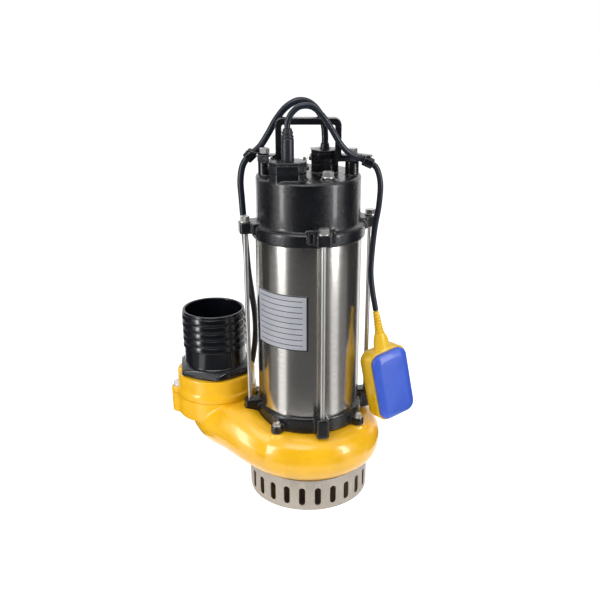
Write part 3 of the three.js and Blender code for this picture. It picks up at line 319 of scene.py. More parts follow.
def smooth_route(points, steps=10):
    """A centripetal curve through points, as a fine list of points."""
    points = [Vector(p) for p in points]
    ends = [2 * points[0] - points[1], *points, 2 * points[-1] - points[-2]]
    fine = []
    for p0, p1, p2, p3 in zip(ends, ends[1:], ends[2:], ends[3:]):
        d0, d1, d2 = (math.sqrt(max((b - a).length, 1e-9)) for a, b in ((p0, p1), (p1, p2), (p2, p3)))
        m1 = ((p1 - p0) / d0 - (p2 - p0) / (d0 + d1) + (p2 - p1) / d1) * d1
        m2 = ((p2 - p1) / d1 - (p3 - p1) / (d1 + d2) + (p3 - p2) / d2) * d1
        for k in range(steps):
            t = k / steps
            a, b = 2 * t**3 - 3 * t**2 + 1, t**3 - 2 * t**2 + t
            c, d = 3 * t**2 - 2 * t**3, t**3 - t**2
            fine.append(a * p1 + b * m1 + c * p2 + d * m2)
    return [*fine, points[-1]]


def tapered_tube(name, route, radius_at, sides=64):
    """A round tube of changing radius along a fine route."""
    across = Vector((0, 0, 1)).cross(route[1] - route[0]).normalized()
    loops = []
    for i, centre in enumerate(route):
        ahead = route[min(i + 1, len(route) - 1)] - route[max(i - 1, 0)]
        across = (across - across.project(ahead)).normalized()
        up = ahead.cross(across).normalized()
        radius = radius_at(i / (len(route) - 1))
        angles = [2 * math.pi * j / sides for j in range(sides)]
        loops.append([centre + radius * (across * math.cos(a) + up * math.sin(a)) for a in angles])
    return skinned(name, loops)


# ---------------------------------------------------------------- working on pieces

def applied(thing):
    """Bakes a piece's modifiers into its mesh."""
    graph = bpy.context.evaluated_depsgraph_get()
    data = bpy.data.meshes.new_from_object(thing.evaluated_get(graph))
    thing.modifiers.clear()
    thing.data = data
    return thing


def combined(thing, others, operation):
    for other in others:
        modifier = thing.modifiers.new(operation.title(), "BOOLEAN")
        modifier.operation = operation
        modifier.solver = "MANIFOLD"
        modifier.object = other
    applied(thing)
    for other in others:
        bpy.data.objects.remove(other)
    return thing


def cut(thing, *others):
    return combined(thing, others, "DIFFERENCE")


def union(thing, *others):
    return combined(thing, others, "UNION")


def grouped(name, *things):
    """Several separate solids as one mesh."""
    bm = bmesh.new()
    for thing in things:
        bm.from_mesh(thing.data)
        bpy.data.objects.remove(thing)
    return made(name, bm)


def cast(thing, voxel, rounds):
    """Melts a piece's solids into one skin with the soft inner corners of a casting."""
    remesh = thing.modifiers.new("Cast", "REMESH")
    remesh.mode = "VOXEL"
    remesh.voxel_size = voxel
    smooth = thing.modifiers.new("Fillets", "SMOOTH")
    smooth.factor = 0.5
    smooth.iterations = rounds
    return applied(thing)


def bevelled(thing, width, angle=35, segments=3):
    bevel = thing.modifiers.new("Edges", "BEVEL")
    bevel.width = width
    bevel.segments = segments
    bevel.limit_method = "ANGLE"
    bevel.angle_limit = math.radians(angle)
    bevel.harden_normals = False
    return applied(thing)


def shaded(thing, angle=32):
    thing.data.polygons.foreach_set("use_smooth", [True] * len(thing.data.polygons))
    thing.data.set_sharp_from_angle(angle=math.radians(angle))
    return thing


def finished(thing, name, body, slot, *nodes, angle=32):
    """Names a piece, shades it, gives it the finish of its slot, ties it to its body, and hides the nodes
    that it stands for.
    """
    thing.name = name
    if thing.type == "MESH":
        shaded(thing, angle)
    materials = thing.data.materials
    for i in range(len(materials)):
        materials[i] = FINISHES[slot]()
    if not materials:
        materials.append(FINISHES[slot]())
    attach(thing, body)
    if nodes:
        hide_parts(*nodes)
    return thing


def bolt(name, across, seat, head, shank_r, bottom, washer_r=0.0, washer=0.0, place=(0, 0)):
    """A hexagon bolt on its washer, with a shank that reaches down to bottom."""
    parts = [
        hexagonal(name, across, seat + washer, seat + washer + head, place, turn=0.3),
        disc(name, shank_r, bottom, seat + washer + head / 2, place, segments=24),
    ]
    if washer:
        parts.append(
            ring(name, shank_r * 1.02, washer_r, seat, seat + washer, place, edge=0.0003, segments=48),
        )
    return grouped(name, *parts)


# ---------------------------------------------------------------- shared shading groups

def new_group(name, inputs, outputs):
    """An empty shader group; inputs and outputs are (name, socket type, default)."""
    group = bpy.data.node_groups.new(name, "ShaderNodeTree")
    for label, kind, default in inputs:
        group.interface.new_socket(label, in_out="INPUT", socket_type=kind).default_value = default
    for label, kind in outputs:
        group.interface.new_socket(label, in_out="OUTPUT", socket_type=kind)
    return group, group.nodes.new("NodeGroupInput"), group.nodes.new("NodeGroupOutput")


def node(tree, kind, **settings):
    """Adds a node; a setting named like an attribute sets it, and any other sets an input's value or link."""
    new = tree.nodes.new("ShaderNode" + kind)
    for label, value in settings.items():
        if hasattr(new, label):
            setattr(new, label, value)
            continue
        index = int(label[1:]) if label[1:].isdigit() else label.replace("_", " ").title()
        socket = new.inputs[index]
        if isinstance(value, bpy.types.NodeSocket):
            tree.links.new(value, socket)
        else:
            socket.default_value = value
    return new


def math_node(tree, operation, a, b=0.5):
    return node(tree, "Math", operation=operation, i0=a, i1=b).outputs[0]


def mapped(tree, value, low, high, to_low=0.0, to_high=1.0):
    """A value moved smoothly from one range to another, and held at its ends."""
    new = node(
        tree, "MapRange", interpolation_type="SMOOTHSTEP", i0=value, i1=low, i2=high, i3=to_low, i4=to_high,
    )
    return new.outputs[0]


def mixed(tree, amount, a, b):
    """A colour between two colours."""
    return node(tree, "Mix", data_type="RGBA", i0=amount, i6=a, i7=b).outputs[2]


def cast_skin_group():
    """The orange peel and fine pits of paint over a sand casting."""
    name = "Cast skin"
    if name in bpy.data.node_groups:
        return bpy.data.node_groups[name]
    group, given, result = new_group(
        name,
        [("Peel", "NodeSocketFloat", 180.0), ("Grit", "NodeSocketFloat", 900.0),
            ("Grit Share", "NodeSocketFloat", 0.3)],
        [("Height", "NodeSocketFloat"), ("Mottle", "NodeSocketFloat")],
    )
    place = node(group, "TexCoord").outputs["Object"]
    peel = node(group, "TexNoise", vector=place, scale=given.outputs["Peel"], detail=2.0, roughness=0.45)
    grit = node(group, "TexNoise", vector=place, scale=given.outputs["Grit"], detail=3.0, roughness=0.65)
    mottle = node(group, "TexNoise", vector=place, scale=26.0, detail=5.0, roughness=0.6)
    share = math_node(group, "MULTIPLY", grit.outputs[0], given.outputs["Grit Share"])
    group.links.new(math_node(group, "ADD", peel.outputs[0], share), result.inputs["Height"])
    group.links.new(mapped(group, mottle.outputs[0], 0.3, 0.7), result.inputs["Mottle"])
    return group


def hairline_group():
    """Fine lines left by brushing, running around the piece or along it."""
    name = "Hairlines"
    if name in bpy.data.node_groups:
        return bpy.data.node_groups[name]
    group, given, result = new_group(
        name,
        [("Around", "NodeSocketFloat", 4.0), ("Along", "NodeSocketFloat", 1400.0)],
        [("Lines", "NodeSocketFloat"), ("Bands", "NodeSocketFloat")],
    )
    place = node(group, "TexCoord").outputs["Object"]
    parts = node(group, "SeparateXYZ", vector=place)
    angle = math_node(group, "ARCTAN2", parts.outputs[0], parts.outputs[1])
    lines = []
    for stretch in (1.0, 0.12):
        along = math_node(group, "MULTIPLY", given.outputs["Along"], stretch)
        spread = node(
            group, "CombineXYZ",
            x=math_node(group, "MULTIPLY", angle, given.outputs["Around"]),
            y=math_node(group, "MULTIPLY", parts.outputs[2], along),
        )
        noise = node(group, "TexNoise", vector=spread.outputs[0], scale=1.0, detail=4.0, roughness=0.7)
        lines.append(noise.outputs[0])
    group.links.new(lines[0], result.inputs["Lines"])
    group.links.new(lines[1], result.inputs["Bands"])
    return group


def edge_wear_and_highlight_group():
    """A mask of the raised edges, broken up, where paint wears thin; the lighter colour it brings is partly
    edge wear and partly a painted highlight.
    """
    name = "Edge wear"
    if name in bpy.data.node_groups:
        return bpy.data.node_groups[name]
    group, given, result = new_group(
        name,
        [("Start", "NodeSocketFloat", 0.53), ("Full", "NodeSocketFloat", 0.62)],
        [("Mask", "NodeSocketFloat")],
    )
    place = node(group, "TexCoord").outputs["Object"]
    # Raised edges found by pointiness get edge wear and a painted highlight
    pointed = node(group, "NewGeometry").outputs["Pointiness"]
    edges = node(
        group, "MapRange", i0=pointed, i1=given.outputs["Start"], i2=given.outputs["Full"],
    ).outputs[0]
    breaks = node(group, "TexNoise", vector=place, scale=140.0, detail=4.0, roughness=0.7).outputs[0]
    mask = math_node(group, "MULTIPLY", edges, mapped(group, breaks, 0.38, 0.62, 0.25, 1.0))
    group.links.new(mask, result.inputs["Mask"])
    return group


def dust_group():
    """A mask of the thin dust that settles on what faces up."""
    name = "Dust"
    if name in bpy.data.node_groups:
        return bpy.data.node_groups[name]
    group, given, result = new_group(
        name, [("Amount", "NodeSocketFloat", 0.1)], [("Mask", "NodeSocketFloat")],
    )
    place = node(group, "TexCoord").outputs["Object"]
    facing = node(group, "SeparateXYZ", vector=node(group, "NewGeometry").outputs["Normal"]).outputs[2]
    patches = node(group, "TexNoise", vector=place, scale=45.0, detail=6.0, roughness=0.7).outputs[0]
    settled = math_node(group, "MULTIPLY", mapped(group, facing, 0.3, 1.0), mapped(group, patches, 0.4, 0.7))
    group.links.new(math_node(group, "MULTIPLY", settled, given.outputs["Amount"]), result.inputs["Mask"])
    return group


def placed_group(tree, group, **values):
    """A shared group in a material, with its own values."""
    new = tree.nodes.new("ShaderNodeGroup")
    new.node_tree = group
    for label, value in values.items():
        new.inputs[label.replace("_", " ").title()].default_value = value
    return new


# ---------------------------------------------------------------- finishes

def rgb(colour):
    return (*colour[:3], 1.0)


def shades(colour, factor):
    return (*(min(1.0, part * factor) for part in colour[:3]), 1.0)


def new_finish(name):
    """A material with its Principled shader alone, and that shader."""
    material = bpy.data.materials.new(name)
    material.use_nodes = True
    return material, material.node_tree, material.node_tree.nodes["Principled BSDF"]


def bump(tree, shader, height, strength, distance):
    raised = node(tree, "Bump", strength=strength, distance=distance)
    tree.links.new(height, raised.inputs["Height"])
    tree.links.new(raised.outputs[0], shader.inputs["Normal"])


def once(maker):
    """Keeps the material that a finish makes, so that each is built one time."""
    kept = []

    def finish():
        if not kept:
            kept.append(maker())
        return kept[0]

    return finish


def painted(name, colour, edge_highlight_and_wear_colour, roughness, coat, peel, grit, share, depth, dust):
    """Paint over a casting: peel and grit in relief, mottled gloss, edges lightened by wear and a painted
    highlight, and a little dust.
    """
    material, tree, shader = new_finish(name)
    skin = placed_group(tree, cast_skin_group(), Peel=peel, Grit=grit, Grit_Share=share)
    wear_and_highlight = placed_group(tree, edge_wear_and_highlight_group()).outputs["Mask"]
    dusty = placed_group(tree, dust_group(), Amount=dust).outputs["Mask"]
    tone = mixed(tree, skin.outputs["Mottle"], shades(colour, 0.93), shades(colour, 1.05))
    # Raised edges take a lighter colour: partly edge wear, partly a painted highlight
    edged = mixed(tree, math_node(tree, "MULTIPLY", wear_and_highlight, 0.6), tone, rgb(edge_highlight_and_wear_colour))
    tree.links.new(mixed(tree, dusty, edged, (0.55, 0.54, 0.52, 1)), shader.inputs["Base Color"])
    gloss = mapped(tree, skin.outputs["Mottle"], 0.0, 1.0, roughness * 0.85, roughness * 1.2)
    dulled = math_node(tree, "MULTIPLY", dusty, 0.6)
    tree.links.new(math_node(tree, "ADD", gloss, dulled), shader.inputs["Roughness"])
    shader.inputs["Coat Weight"].default_value = coat
    shader.inputs["Coat Roughness"].default_value = 0.08
    bump(tree, shader, skin.outputs["Height"], 0.35, depth)
    return material


def brushed(name, colour, roughness, around_lines, along_lines, depth, tarnish):
    """Brushed or rolled metal: hairlines in gloss and relief, and faint broad bands of tone."""
    material, tree, shader = new_finish(name)
    hair = placed_group(tree, hairline_group(), Around=around_lines, Along=along_lines)
    skin = placed_group(tree, cast_skin_group(), Peel=60.0)
    band = mapped(tree, hair.outputs["Bands"], 0.35, 0.65)
    tone = mixed(tree, band, shades(colour, 0.94), shades(colour, 1.04))
    stained = math_node(tree, "MULTIPLY", skin.outputs["Mottle"], tarnish)
    tree.links.new(mixed(tree, stained, tone, shades(colour, 0.7)), shader.inputs["Base Color"])
    shader.inputs["Metallic"].default_value = 1.0
    lined = mapped(tree, hair.outputs["Lines"], 0.3, 0.7, roughness * 0.8, roughness * 1.25)
    tree.links.new(lined, shader.inputs["Roughness"])
    bump(tree, shader, hair.outputs["Lines"], 0.2, depth)
    return material


def moulded(name, colour, roughness, grain, depth, coat=0.0, dust=0.06):
    """Moulded plastic or rubber: a fine grain, uneven gloss, and dust on top."""
    material, tree, shader = new_finish(name)
    skin = placed_group(tree, cast_skin_group(), Peel=grain, Grit=grain * 4, Grit_Share=0.2)
    dusty = placed_group(tree, dust_group(), Amount=dust).outputs["Mask"]
    wear_and_highlight = placed_group(tree, edge_wear_and_highlight_group()).outputs["Mask"]
    tone = mixed(tree, skin.outputs["Mottle"], shades(colour, 0.94), shades(colour, 1.06))
    # Raised edges lighten to 1.5 times the colour: partly rubbed wear, partly a painted highlight
    edged = mixed(tree, math_node(tree, "MULTIPLY", wear_and_highlight, 0.35), tone, shades(colour, 1.5))
    tree.links.new(mixed(tree, dusty, edged, (0.5, 0.5, 0.5, 1)), shader.inputs["Base Color"])
    gloss = mapped(tree, skin.outputs["Mottle"], 0.0, 1.0, roughness * 0.85, roughness * 1.15)
    dulled = math_node(tree, "MULTIPLY", dusty, 0.5)
    tree.links.new(math_node(tree, "ADD", gloss, dulled), shader.inputs["Roughness"])
    shader.inputs["Coat Weight"].default_value = coat
    bump(tree, shader, skin.outputs["Height"], 0.25, depth)
    return material


def colours():
    return bpy.context.scene.pump_colours


@once
def yellow_enamel():
    colour = colours().casing
    # The edge colour, the enamel lightened 1.1 times, is partly wear and partly a painted highlight
    return painted(
        "Yellow enamel", colour, shades(colour, 1.1), 0.22, 0.35, 120.0, 700.0, 0.12, 0.00025, 0.03,
    )


@once
def black_enamel():
    colour = colours().cap
    # The grey-blue edge colour is partly wear and partly a painted highlight
    return painted("Black enamel", colour, (0.16, 0.17, 0.19), 0.25, 0.4, 420.0, 1300.0, 0.9, 0.0007, 0.03)


@once
def brushed_barrel():
    return brushed("Brushed barrel", colours().barrel, 0.2, 3.0, 2600.0, 0.00002, 0.1)


@once
def pressed_sheet():
    return brushed("Pressed sheet", colours().strainer, 0.42, 30.0, 900.0, 0.00004, 0.35)


@once
def zinc_plate():
    return brushed("Zinc plate", colours().bolts, 0.36, 200.0, 90.0, 0.00001, 0.25)


@once
def turned_steel():
    return brushed("Turned steel", (0.30, 0.31, 0.33), 0.32, 2.0, 1800.0, 0.00003, 0.2)


@once
def copper_winding():
    return brushed("Copper winding", (0.46, 0.13, 0.03), 0.35, 2.0, 900.0, 0.0003, 0.3)


@once
def raw_casting():
    # The grey edge colour is partly wear and partly a painted highlight
    return painted(
        "Raw casting", (0.09, 0.10, 0.11), (0.3, 0.3, 0.3), 0.55, 0.0, 300.0, 1200.0, 0.8, 0.0006, 0.1,
    )


@once
def lapped_ceramic():
    return moulded("Lapped ceramic", (0.79, 0.76, 0.69), 0.3, 300.0, 0.00003)


@once
def hose_plastic():
    return moulded("Hose tail plastic", colours().plastic, 0.2, 90.0, 0.00012, coat=0.3, dust=0.03)


@once
def soft_rubber():
    return moulded("Soft rubber", colours().rubber, 0.45, 500.0, 0.0001, dust=0.05)


@once
def cable_sheath():
    return moulded("Cable sheath", colours().cable, 0.33, 260.0, 0.00012, dust=0.08)


@once
def float_yellow():
    return moulded("Float yellow", colours().float_shell, 0.32, 300.0, 0.00008, coat=0.2, dust=0.02)


@once
def float_blue():
    return moulded("Float blue", colours().float_cover, 0.36, 400.0, 0.00008, coat=0.15, dust=0.02)


@once
def plate_foil():
    return moulded("Plate foil", colours().plate, 0.34, 700.0, 0.00003, dust=0.02)


@once
def plate_ink():
    return moulded("Plate ink", (0.012, 0.012, 0.014), 0.4, 700.0, 0.00003, dust=0.02)


FINISHES = {
    "yellow_paint": yellow_enamel,
    "black_paint": black_enamel,
    "stainless": brushed_barrel,
    "pressed_stainless": pressed_sheet,
    "zinc": zinc_plate,
    "black_plastic": hose_plastic,
    "rubber": soft_rubber,
    "cable_jacket": cable_sheath,
    "copper": copper_winding,
    "steel": turned_steel,
    "cast_iron": raw_casting,
    "ceramic": lapped_ceramic,
    "float_yellow": float_yellow,
    "float_blue": float_blue,
    "label": plate_foil,
}


# ---------------------------------------------------------------- castings

def casing_reach(angle):
    """How much further the volute reaches at an angle from the front, from its tongue to its throat."""
    turn = (200 - angle) % 360
    return CASING_GROWTH * math.sin(min(1, turn / 300) * math.pi / 2) * min(1, (360 - turn) / 60)


def volute_shape(inset, steps=22, segments=200):
    """The volute's round-shouldered body, or the hollow inside it when it is drawn in by inset."""
    middle = (CASING_BOTTOM + CASING_TOP) / 2
    side = CASING_R - CORE_R - inset
    half = (CASING_TOP - CASING_BOTTOM) / 2 - inset
    profile = [(0, middle - half)]
    for i in range(steps + 1):
        angle = (i / steps - 0.5) * math.pi
        c, s = math.cos(angle), math.sin(angle)
        profile.append((CORE_R + side * abs(c) ** 0.78, middle + half * math.copysign(abs(s) ** 0.85, s)))
    profile.append((0, middle + half))
    body = spun("volute", profile, segments=segments)
    for vertex in body.data.vertices:
        radius = math.hypot(vertex.co.x, vertex.co.y)
        if radius <= CORE_R:
            continue
        angle = math.degrees(math.atan2(vertex.co.x, -vertex.co.y))
        stretch = 1 + casing_reach(angle) * (radius - CORE_R) / (CASING_R - CORE_R) / radius
        vertex.co.x *= stretch
        vertex.co.y *= stretch
    return body


def duct(inset):
    """The duct that leaves the volute at the front and rises to the outlet."""
    floor = CASING_BOTTOM + DUCT_START_R + 0.001
    route = smooth_route([
        (-0.006, -0.074, floor), (-0.062, -0.061, floor + 0.004), (-0.111, -0.023, floor + 0.019),
        (OUTLET.x + 0.008, OUTLET.y - 0.024, COLLAR_BOTTOM), (OUTLET.x, OUTLET.y, COLLAR_BOTTOM + 0.026),
        (OUTLET.x, OUTLET.y, FLANGE_FACE + 0.014),
    ])
    return tapered_tube("duct", route, lambda t: DUCT_START_R + (DUCT_END_R - DUCT_START_R) * t**1.8 - inset)


def ear_place(degrees):
    return (OUTLET + around(COLLAR_R - 0.002, degrees))[:2]


def collar(name, low, high, edge=0.0):
    """A ring of the outlet with its two bolt ears."""
    body = disc(name, COLLAR_R, low, high, OUTLET[:2], edge, 160)
    ears = [disc("ear", EAR_R, low, high, ear_place(angle), edge, 48) for angle in EAR_ANGLES]
    return union(body, *ears)


def chamber_foot(margin, top):
    """A foot of the oil chamber that takes a tie bolt, drawn at the front."""
    half, reach = FOOT_HALF_WIDTH + margin, FOOT_REACH + margin
    corners = ((-half, -reach, 0.005), (half, -reach, 0.005), (half, -BARREL_R, 0), (-half, -BARREL_R, 0))
    return filleted(corners), CASING_TOP, top


def chamber_ear(margin, top):
    """An ear of the oil chamber that takes a chamber bolt, drawn at the front."""
    half = CHAMBER_EAR_R + margin
    reach = EAR_CIRCLE_R + half
    tip = half * 0.98
    corners = ((-half, -reach, tip), (half, -reach, tip), (half, -BARREL_R, 0), (-half, -BARREL_R, 0))
    return filleted(corners), CASING_TOP, top


def chamber_fixings(margin, foot_top, ear_top):
    feet = [prism("foot", *chamber_foot(margin, foot_top), turned_to(a)) for a in TIE_ANGLES]
    ears = [prism("ear", *chamber_ear(margin, ear_top), turned_to(a)) for a in CHAMBER_BOLT_ANGLES]
    return [*feet, *ears]


def volute_casing():
    """The volute with its duct, open above for the impeller, below for the inlet and at the outlet."""
    body = volute_shape(0)
    spigot_r = STRAINER_R - STRAINER_WALL - GAP
    pads = [
        disc("pad", 0.0105, CASING_BOTTOM + 0.03, CASING_TOP, around(EAR_CIRCLE_R, angle)[:2], segments=48)
        for angle in CHAMBER_BOLT_ANGLES
    ]
    body = union(
        body, duct(0), collar("collar", COLLAR_BOTTOM, FLANGE_FACE + 0.004),
        disc("spigot", spigot_r, CASING_BOTTOM - 0.005, CASING_BOTTOM + 0.012), *pads,
    )
    body = cast(body, 0.0019, 9)
    high = CASING_TOP + 0.08
    body = cut(
        body,
        disc("above", COLLAR_R + 0.03, FLANGE_FACE, high, OUTLET[:2]),
        disc("room", BAND_R + 0.0008, CASING_TOP, high, segments=160),
        *chamber_fixings(0.0008, high, high),
    )
    return cut(
        body, volute_shape(CASING_WALL, 12, 96), duct(CASING_WALL),
        disc("bore", DUCT_END_R - CASING_WALL, COLLAR_BOTTOM + 0.02, FLANGE_FACE + 0.02, OUTLET[:2]),
        disc("opening", CASING_OPENING_R, CASING_TOP - 0.03, high),
        disc("inlet", INLET_R, CASING_BOTTOM - 0.02, CASING_TOP - 0.03),
    )


def oil_chamber():
    """The chamber between the volute and the barrel, hollow for its oil and open for the shaft."""
    low, high = CASING_TOP - SPIGOT_HEIGHT, BARREL_BOTTOM + SPIGOT_HEIGHT
    pocket_low, pocket_high, pocket_r = BARREL_BOTTOM + 0.0147, BARREL_BOTTOM + 0.030, 0.0263
    spigot_r = CASING_OPENING_R - GAP
    seal_r, shaft_room, oil_r, wall = 0.0203, 0.017, 0.062, 0.008
    floor, ceiling = low + wall, BARREL_BOTTOM + 0.004
    body = spun("oil_chamber", filleted((
        (seal_r, low), (spigot_r, low), (spigot_r, CASING_TOP), (BAND_R, CASING_TOP, 0.0015),
        (BAND_R, BARREL_BOTTOM, 0.003), (SPIGOT_R, BARREL_BOTTOM), (SPIGOT_R, high), (pocket_r + wall, high),
        (pocket_r + 0.006, pocket_high), (pocket_r, pocket_high), (pocket_r, pocket_low),
        (shaft_room, pocket_low), (shaft_room, ceiling), (oil_r, ceiling), (oil_r, floor), (seal_r, floor),
    )))
    body = union(body, *chamber_fixings(0, FOOT_TOP, CHAMBER_EAR_TOP))
    body = cast(body, 0.0013, 3)
    holes = [
        disc("hole", ROD_HOLE_R, TIE_ROD_BOTTOM - GAP, FOOT_TOP + 0.01, around(TIE_CIRCLE_R, angle)[:2])
        for angle in TIE_ANGLES
    ]
    holes += [
        disc("hole", CHAMBER_BOLT_R + GAP, CASING_TOP - 0.01, CHAMBER_EAR_TOP + 0.01,
            around(EAR_CIRCLE_R, angle)[:2])
        for angle in CHAMBER_BOLT_ANGLES
    ]
    return cut(body, *holes)


def octagon(gland, inset=0.0, chamfer=0.011):
    """The outline of a gland's seat and cover."""
    x, y = gland["width"] / 2 - inset, gland["depth"] / 2 - inset
    chamfer -= 0.58 * inset
    corners = (
        (-x + chamfer, -y), (x - chamfer, -y), (x, -y + chamfer), (x, y - chamfer),
        (x - chamfer, y), (-x + chamfer, y), (-x, y - chamfer), (-x, -y + chamfer),
    )
    return filleted([(gland["x"] + a, gland["y"] + b, 0.0015) for a, b in corners])


def motor_cap():
    """The cap over the motor: a deep cup on the barrel, with lugs for the tie bolts and seats on top."""
    low, ceiling, floor = BARREL_TOP - SPIGOT_HEIGHT, CAP_TOP - CAP_WALL, BARREL_TOP + 0.004
    pocket_low, pocket_high, pocket_r = BARREL_TOP - 0.030, BARREL_TOP - 0.0157, 0.0238
    skirt, shoulder, cavity_r = BARREL_TOP - 0.006, BARREL_TOP + 0.014, CAP_R - CAP_WALL
    shaft_room, lug_half, root_half, root = 0.013, 0.012, 0.020, 0.088
    body = spun("motor_cap", filleted((
        (0, CAP_TOP), (CAP_R, CAP_TOP, 0.0045), (CAP_R, shoulder + 0.001, 0.002),
        (BAND_R - 0.002, shoulder, 0.001),
        (BAND_R, shoulder - 0.003, 0.0015), (BAND_R, skirt, 0.002), (BARREL_R + GAP, skirt),
        (BARREL_R + GAP, BARREL_TOP), (SPIGOT_R, BARREL_TOP), (SPIGOT_R, low), (pocket_r + 0.009, low),
        (pocket_r + 0.007, pocket_low), (pocket_r, pocket_low), (pocket_r, pocket_high),
        (shaft_room, pocket_high), (shaft_room, floor), (cavity_r, floor, 0.002), (cavity_r, ceiling, 0.004),
        (0, ceiling),
    ), closed=False))
    lug = filleted((
        (-root_half, -root, 0.002), (-lug_half, -root, 0.001), (-lug_half, -FOOT_REACH, 0.005),
        (lug_half, -FOOT_REACH, 0.005), (lug_half, -root, 0.001), (root_half, -root, 0.002),
        (root_half, -0.074), (-root_half, -0.074),
    ))
    lugs = [prism("lug", lug, LUG_BOTTOM, LUG_TOP, turned_to(a)) for a in TIE_ANGLES]
    bosses = [
        prism("boss", octagon(FLOAT_GLAND), CAP_TOP - 0.003, bottom_of("float_gland")),
        prism("boss", octagon(POWER_GLAND), CAP_TOP - 0.003, bottom_of("power_gland")),
        disc("boss", 0.010, CAP_TOP - 0.003, CAP_TOP + 0.003, PLUG_PLACE[:2]),
    ]
    bosses += [
        disc("boss", 0.010, CAP_TOP - 0.003, HANDLE_SEAT, (side * HANDLE_BOLT_X, HANDLE_Y))
        for side in (-1, 1)
    ]
    body = cast(union(body, *lugs, *bosses), 0.0012, 3)
    holes = [
        disc("hole", ROD_HOLE_R, LUG_BOTTOM - 0.01, LUG_TOP + 0.01, around(TIE_CIRCLE_R, angle)[:2])
        for angle in TIE_ANGLES
    ]
    return cut(body, *holes)


# ---------------------------------------------------------------- strainer and outlet

def strainer(slot_count, slot_width, slot_length):
    """A pressed cup with a ring of round-ended slots."""
    outer, wall = STRAINER_R, STRAINER_WALL
    cup = spun("strainer", filleted((
        (0, 0), (outer, 0, 0.004), (outer, STRAINER_TOP, 0.0006), (outer - wall, STRAINER_TOP, 0.0006),
        (outer - wall, wall, 0.003), (0, wall),
    ), closed=False), segments=240)
    outline = rounded_rectangle(slot_width, slot_length, slot_width * 0.499)
    middle = Matrix.Translation((0, 0, STRAINER_TOP / 2 - 0.0015))
    upright = middle @ Matrix.Rotation(math.radians(90), 4, "X")
    slots = [
        prism("slot", outline, outer - 0.010, outer + 0.005,
            turned_to(360 / slot_count * (i + 0.6)) @ upright)
        for i in range(slot_count)
    ]
    return bevelled(cut(cup, grouped("slots", *slots)), 0.0005, angle=50, segments=2)


def outlet_flange():
    """The flange that holds the hose tail, with pockets for the heads of its two bolts."""
    low = FLANGE_FACE + GASKET
    body = union(
        collar("outlet_flange", low, EAR_TOP),
        disc("rim", COLLAR_R - 0.002, EAR_TOP - 0.002, COLLAR_TOP, OUTLET[:2], 0.0, 160),
    )
    pockets = [
        disc("pocket", 0.0086, EAR_TOP, COLLAR_TOP + 0.01, ear_place(angle),
            segments=48) for angle in EAR_ANGLES
    ]
    body = cut(body, *pockets)
    body = cast(body, 0.0014, 6)
    holes = [disc("hole", 0.0045, low - 0.01, COLLAR_TOP, ear_place(a), segments=32) for a in EAR_ANGLES]
    return cut(body, disc("bore", 0.0513, low - 0.01, COLLAR_TOP + 0.01, OUTLET[:2]), *holes)


def hose_tail(barb_count):
    """A hexagon with a thread below it and a barbed spigot above it."""
    hex_low = COLLAR_TOP + 0.002
    hex_high = hex_low + 0.013
    root, crest, bore = 0.0497, 0.0517, 0.0455
    profile = [
        (bore, FLANGE_FACE + 0.006, 0.001), (0.051, FLANGE_FACE + 0.006, 0.001), (0.051, hex_high, 0),
        (root, hex_high + 0.0012, 0.001),
    ]
    first = hex_high + 0.028
    pitch = (HOSE_TOP - 0.002 - first) / barb_count
    for i in range(barb_count):
        foot = first + i * pitch
        profile += [
            (root, foot, 0.0005), (crest, foot + 0.0018, 0.0007),
            (crest - 0.0012, foot + 0.75 * pitch, 0.0004),
            (root, foot + 0.8 * pitch, 0.0004),
        ]
    profile += [(root, HOSE_TOP, 0.0018), (bore, HOSE_TOP, 0.0018)]
    tube = spun("hose_tail", filleted(profile), OUTLET[:2], 180)
    nut = hexagonal("nut", 0.112, hex_low, hex_high, OUTLET[:2], turn=math.radians(8), sides_per_flat=16)
    nut = bevelled(nut, 0.0009, angle=25)
    nut = cut(nut, disc("bore", bore + 0.002, hex_low - 0.01, hex_high + 0.01, OUTLET[:2], segments=180))
    return union(tube, nut)


# ---------------------------------------------------------------- barrel and plate

def motor_barrel():
    edge = 0.0005
    return ring("motor_barrel", BARREL_R - BARREL_WALL, BARREL_R, BARREL_BOTTOM, BARREL_TOP, edge=edge,
        segments=256)


def rating_plate(rule_count):
    """A thin plate bent to the barrel, printed with a frame and plain rules."""
    low, high = bottom_of("rating_plate"), top_of("rating_plate")
    inner, outer, sweep = BARREL_R + GAP, BARREL_R + 0.0009, 68
    border, margin = 0.0014, 0.004
    rule = 0.0011
    pitch = (high - low - 2 * margin) / rule_count
    heights = [(low, True), (low + border, False)]
    for i in range(rule_count):
        foot = low + margin + (i + 0.5) * pitch - rule / 2
        heights += [(foot, True), (foot + rule, False)]
    heights += [(high - border, True), (high, False)]
    columns = 34
    bm = bmesh.new()
    grid = []
    for height, _ in heights:
        front = [bm.verts.new(around(outer, -sweep * j / columns, height)) for j in range(columns + 1)]
        back = [bm.verts.new(around(inner, -sweep * j / columns, height)) for j in range(columns + 1)]
        grid.append((front, back))
    for i in range(len(heights) - 1):
        (front, back), (front_up, back_up) = grid[i], grid[i + 1]
        framed = i in (0, len(heights) - 2)
        for j in range(columns):
            face = bm.faces.new((front[j], front[j + 1], front_up[j + 1], front_up[j]))
            side = j in (0, columns - 1)
            ruled = heights[i][1] and 2 < j < columns - 3 and not (i % 4 == 3 and 15 < j < 19)
            face.material_index = 1 if framed or side or ruled else 0
            bm.faces.new((back[j + 1], back[j], back_up[j], back_up[j + 1]))
        for j in (0, columns):
            bm.faces.new((front[j], back[j], back_up[j], front_up[j]))
    for front, back in (grid[0], grid[-1]):
        for j in range(columns):
            bm.faces.new((front[j], front[j + 1], back[j + 1], back[j]))
    return made("rating_plate", bm)


# ---------------------------------------------------------------- cap fittings

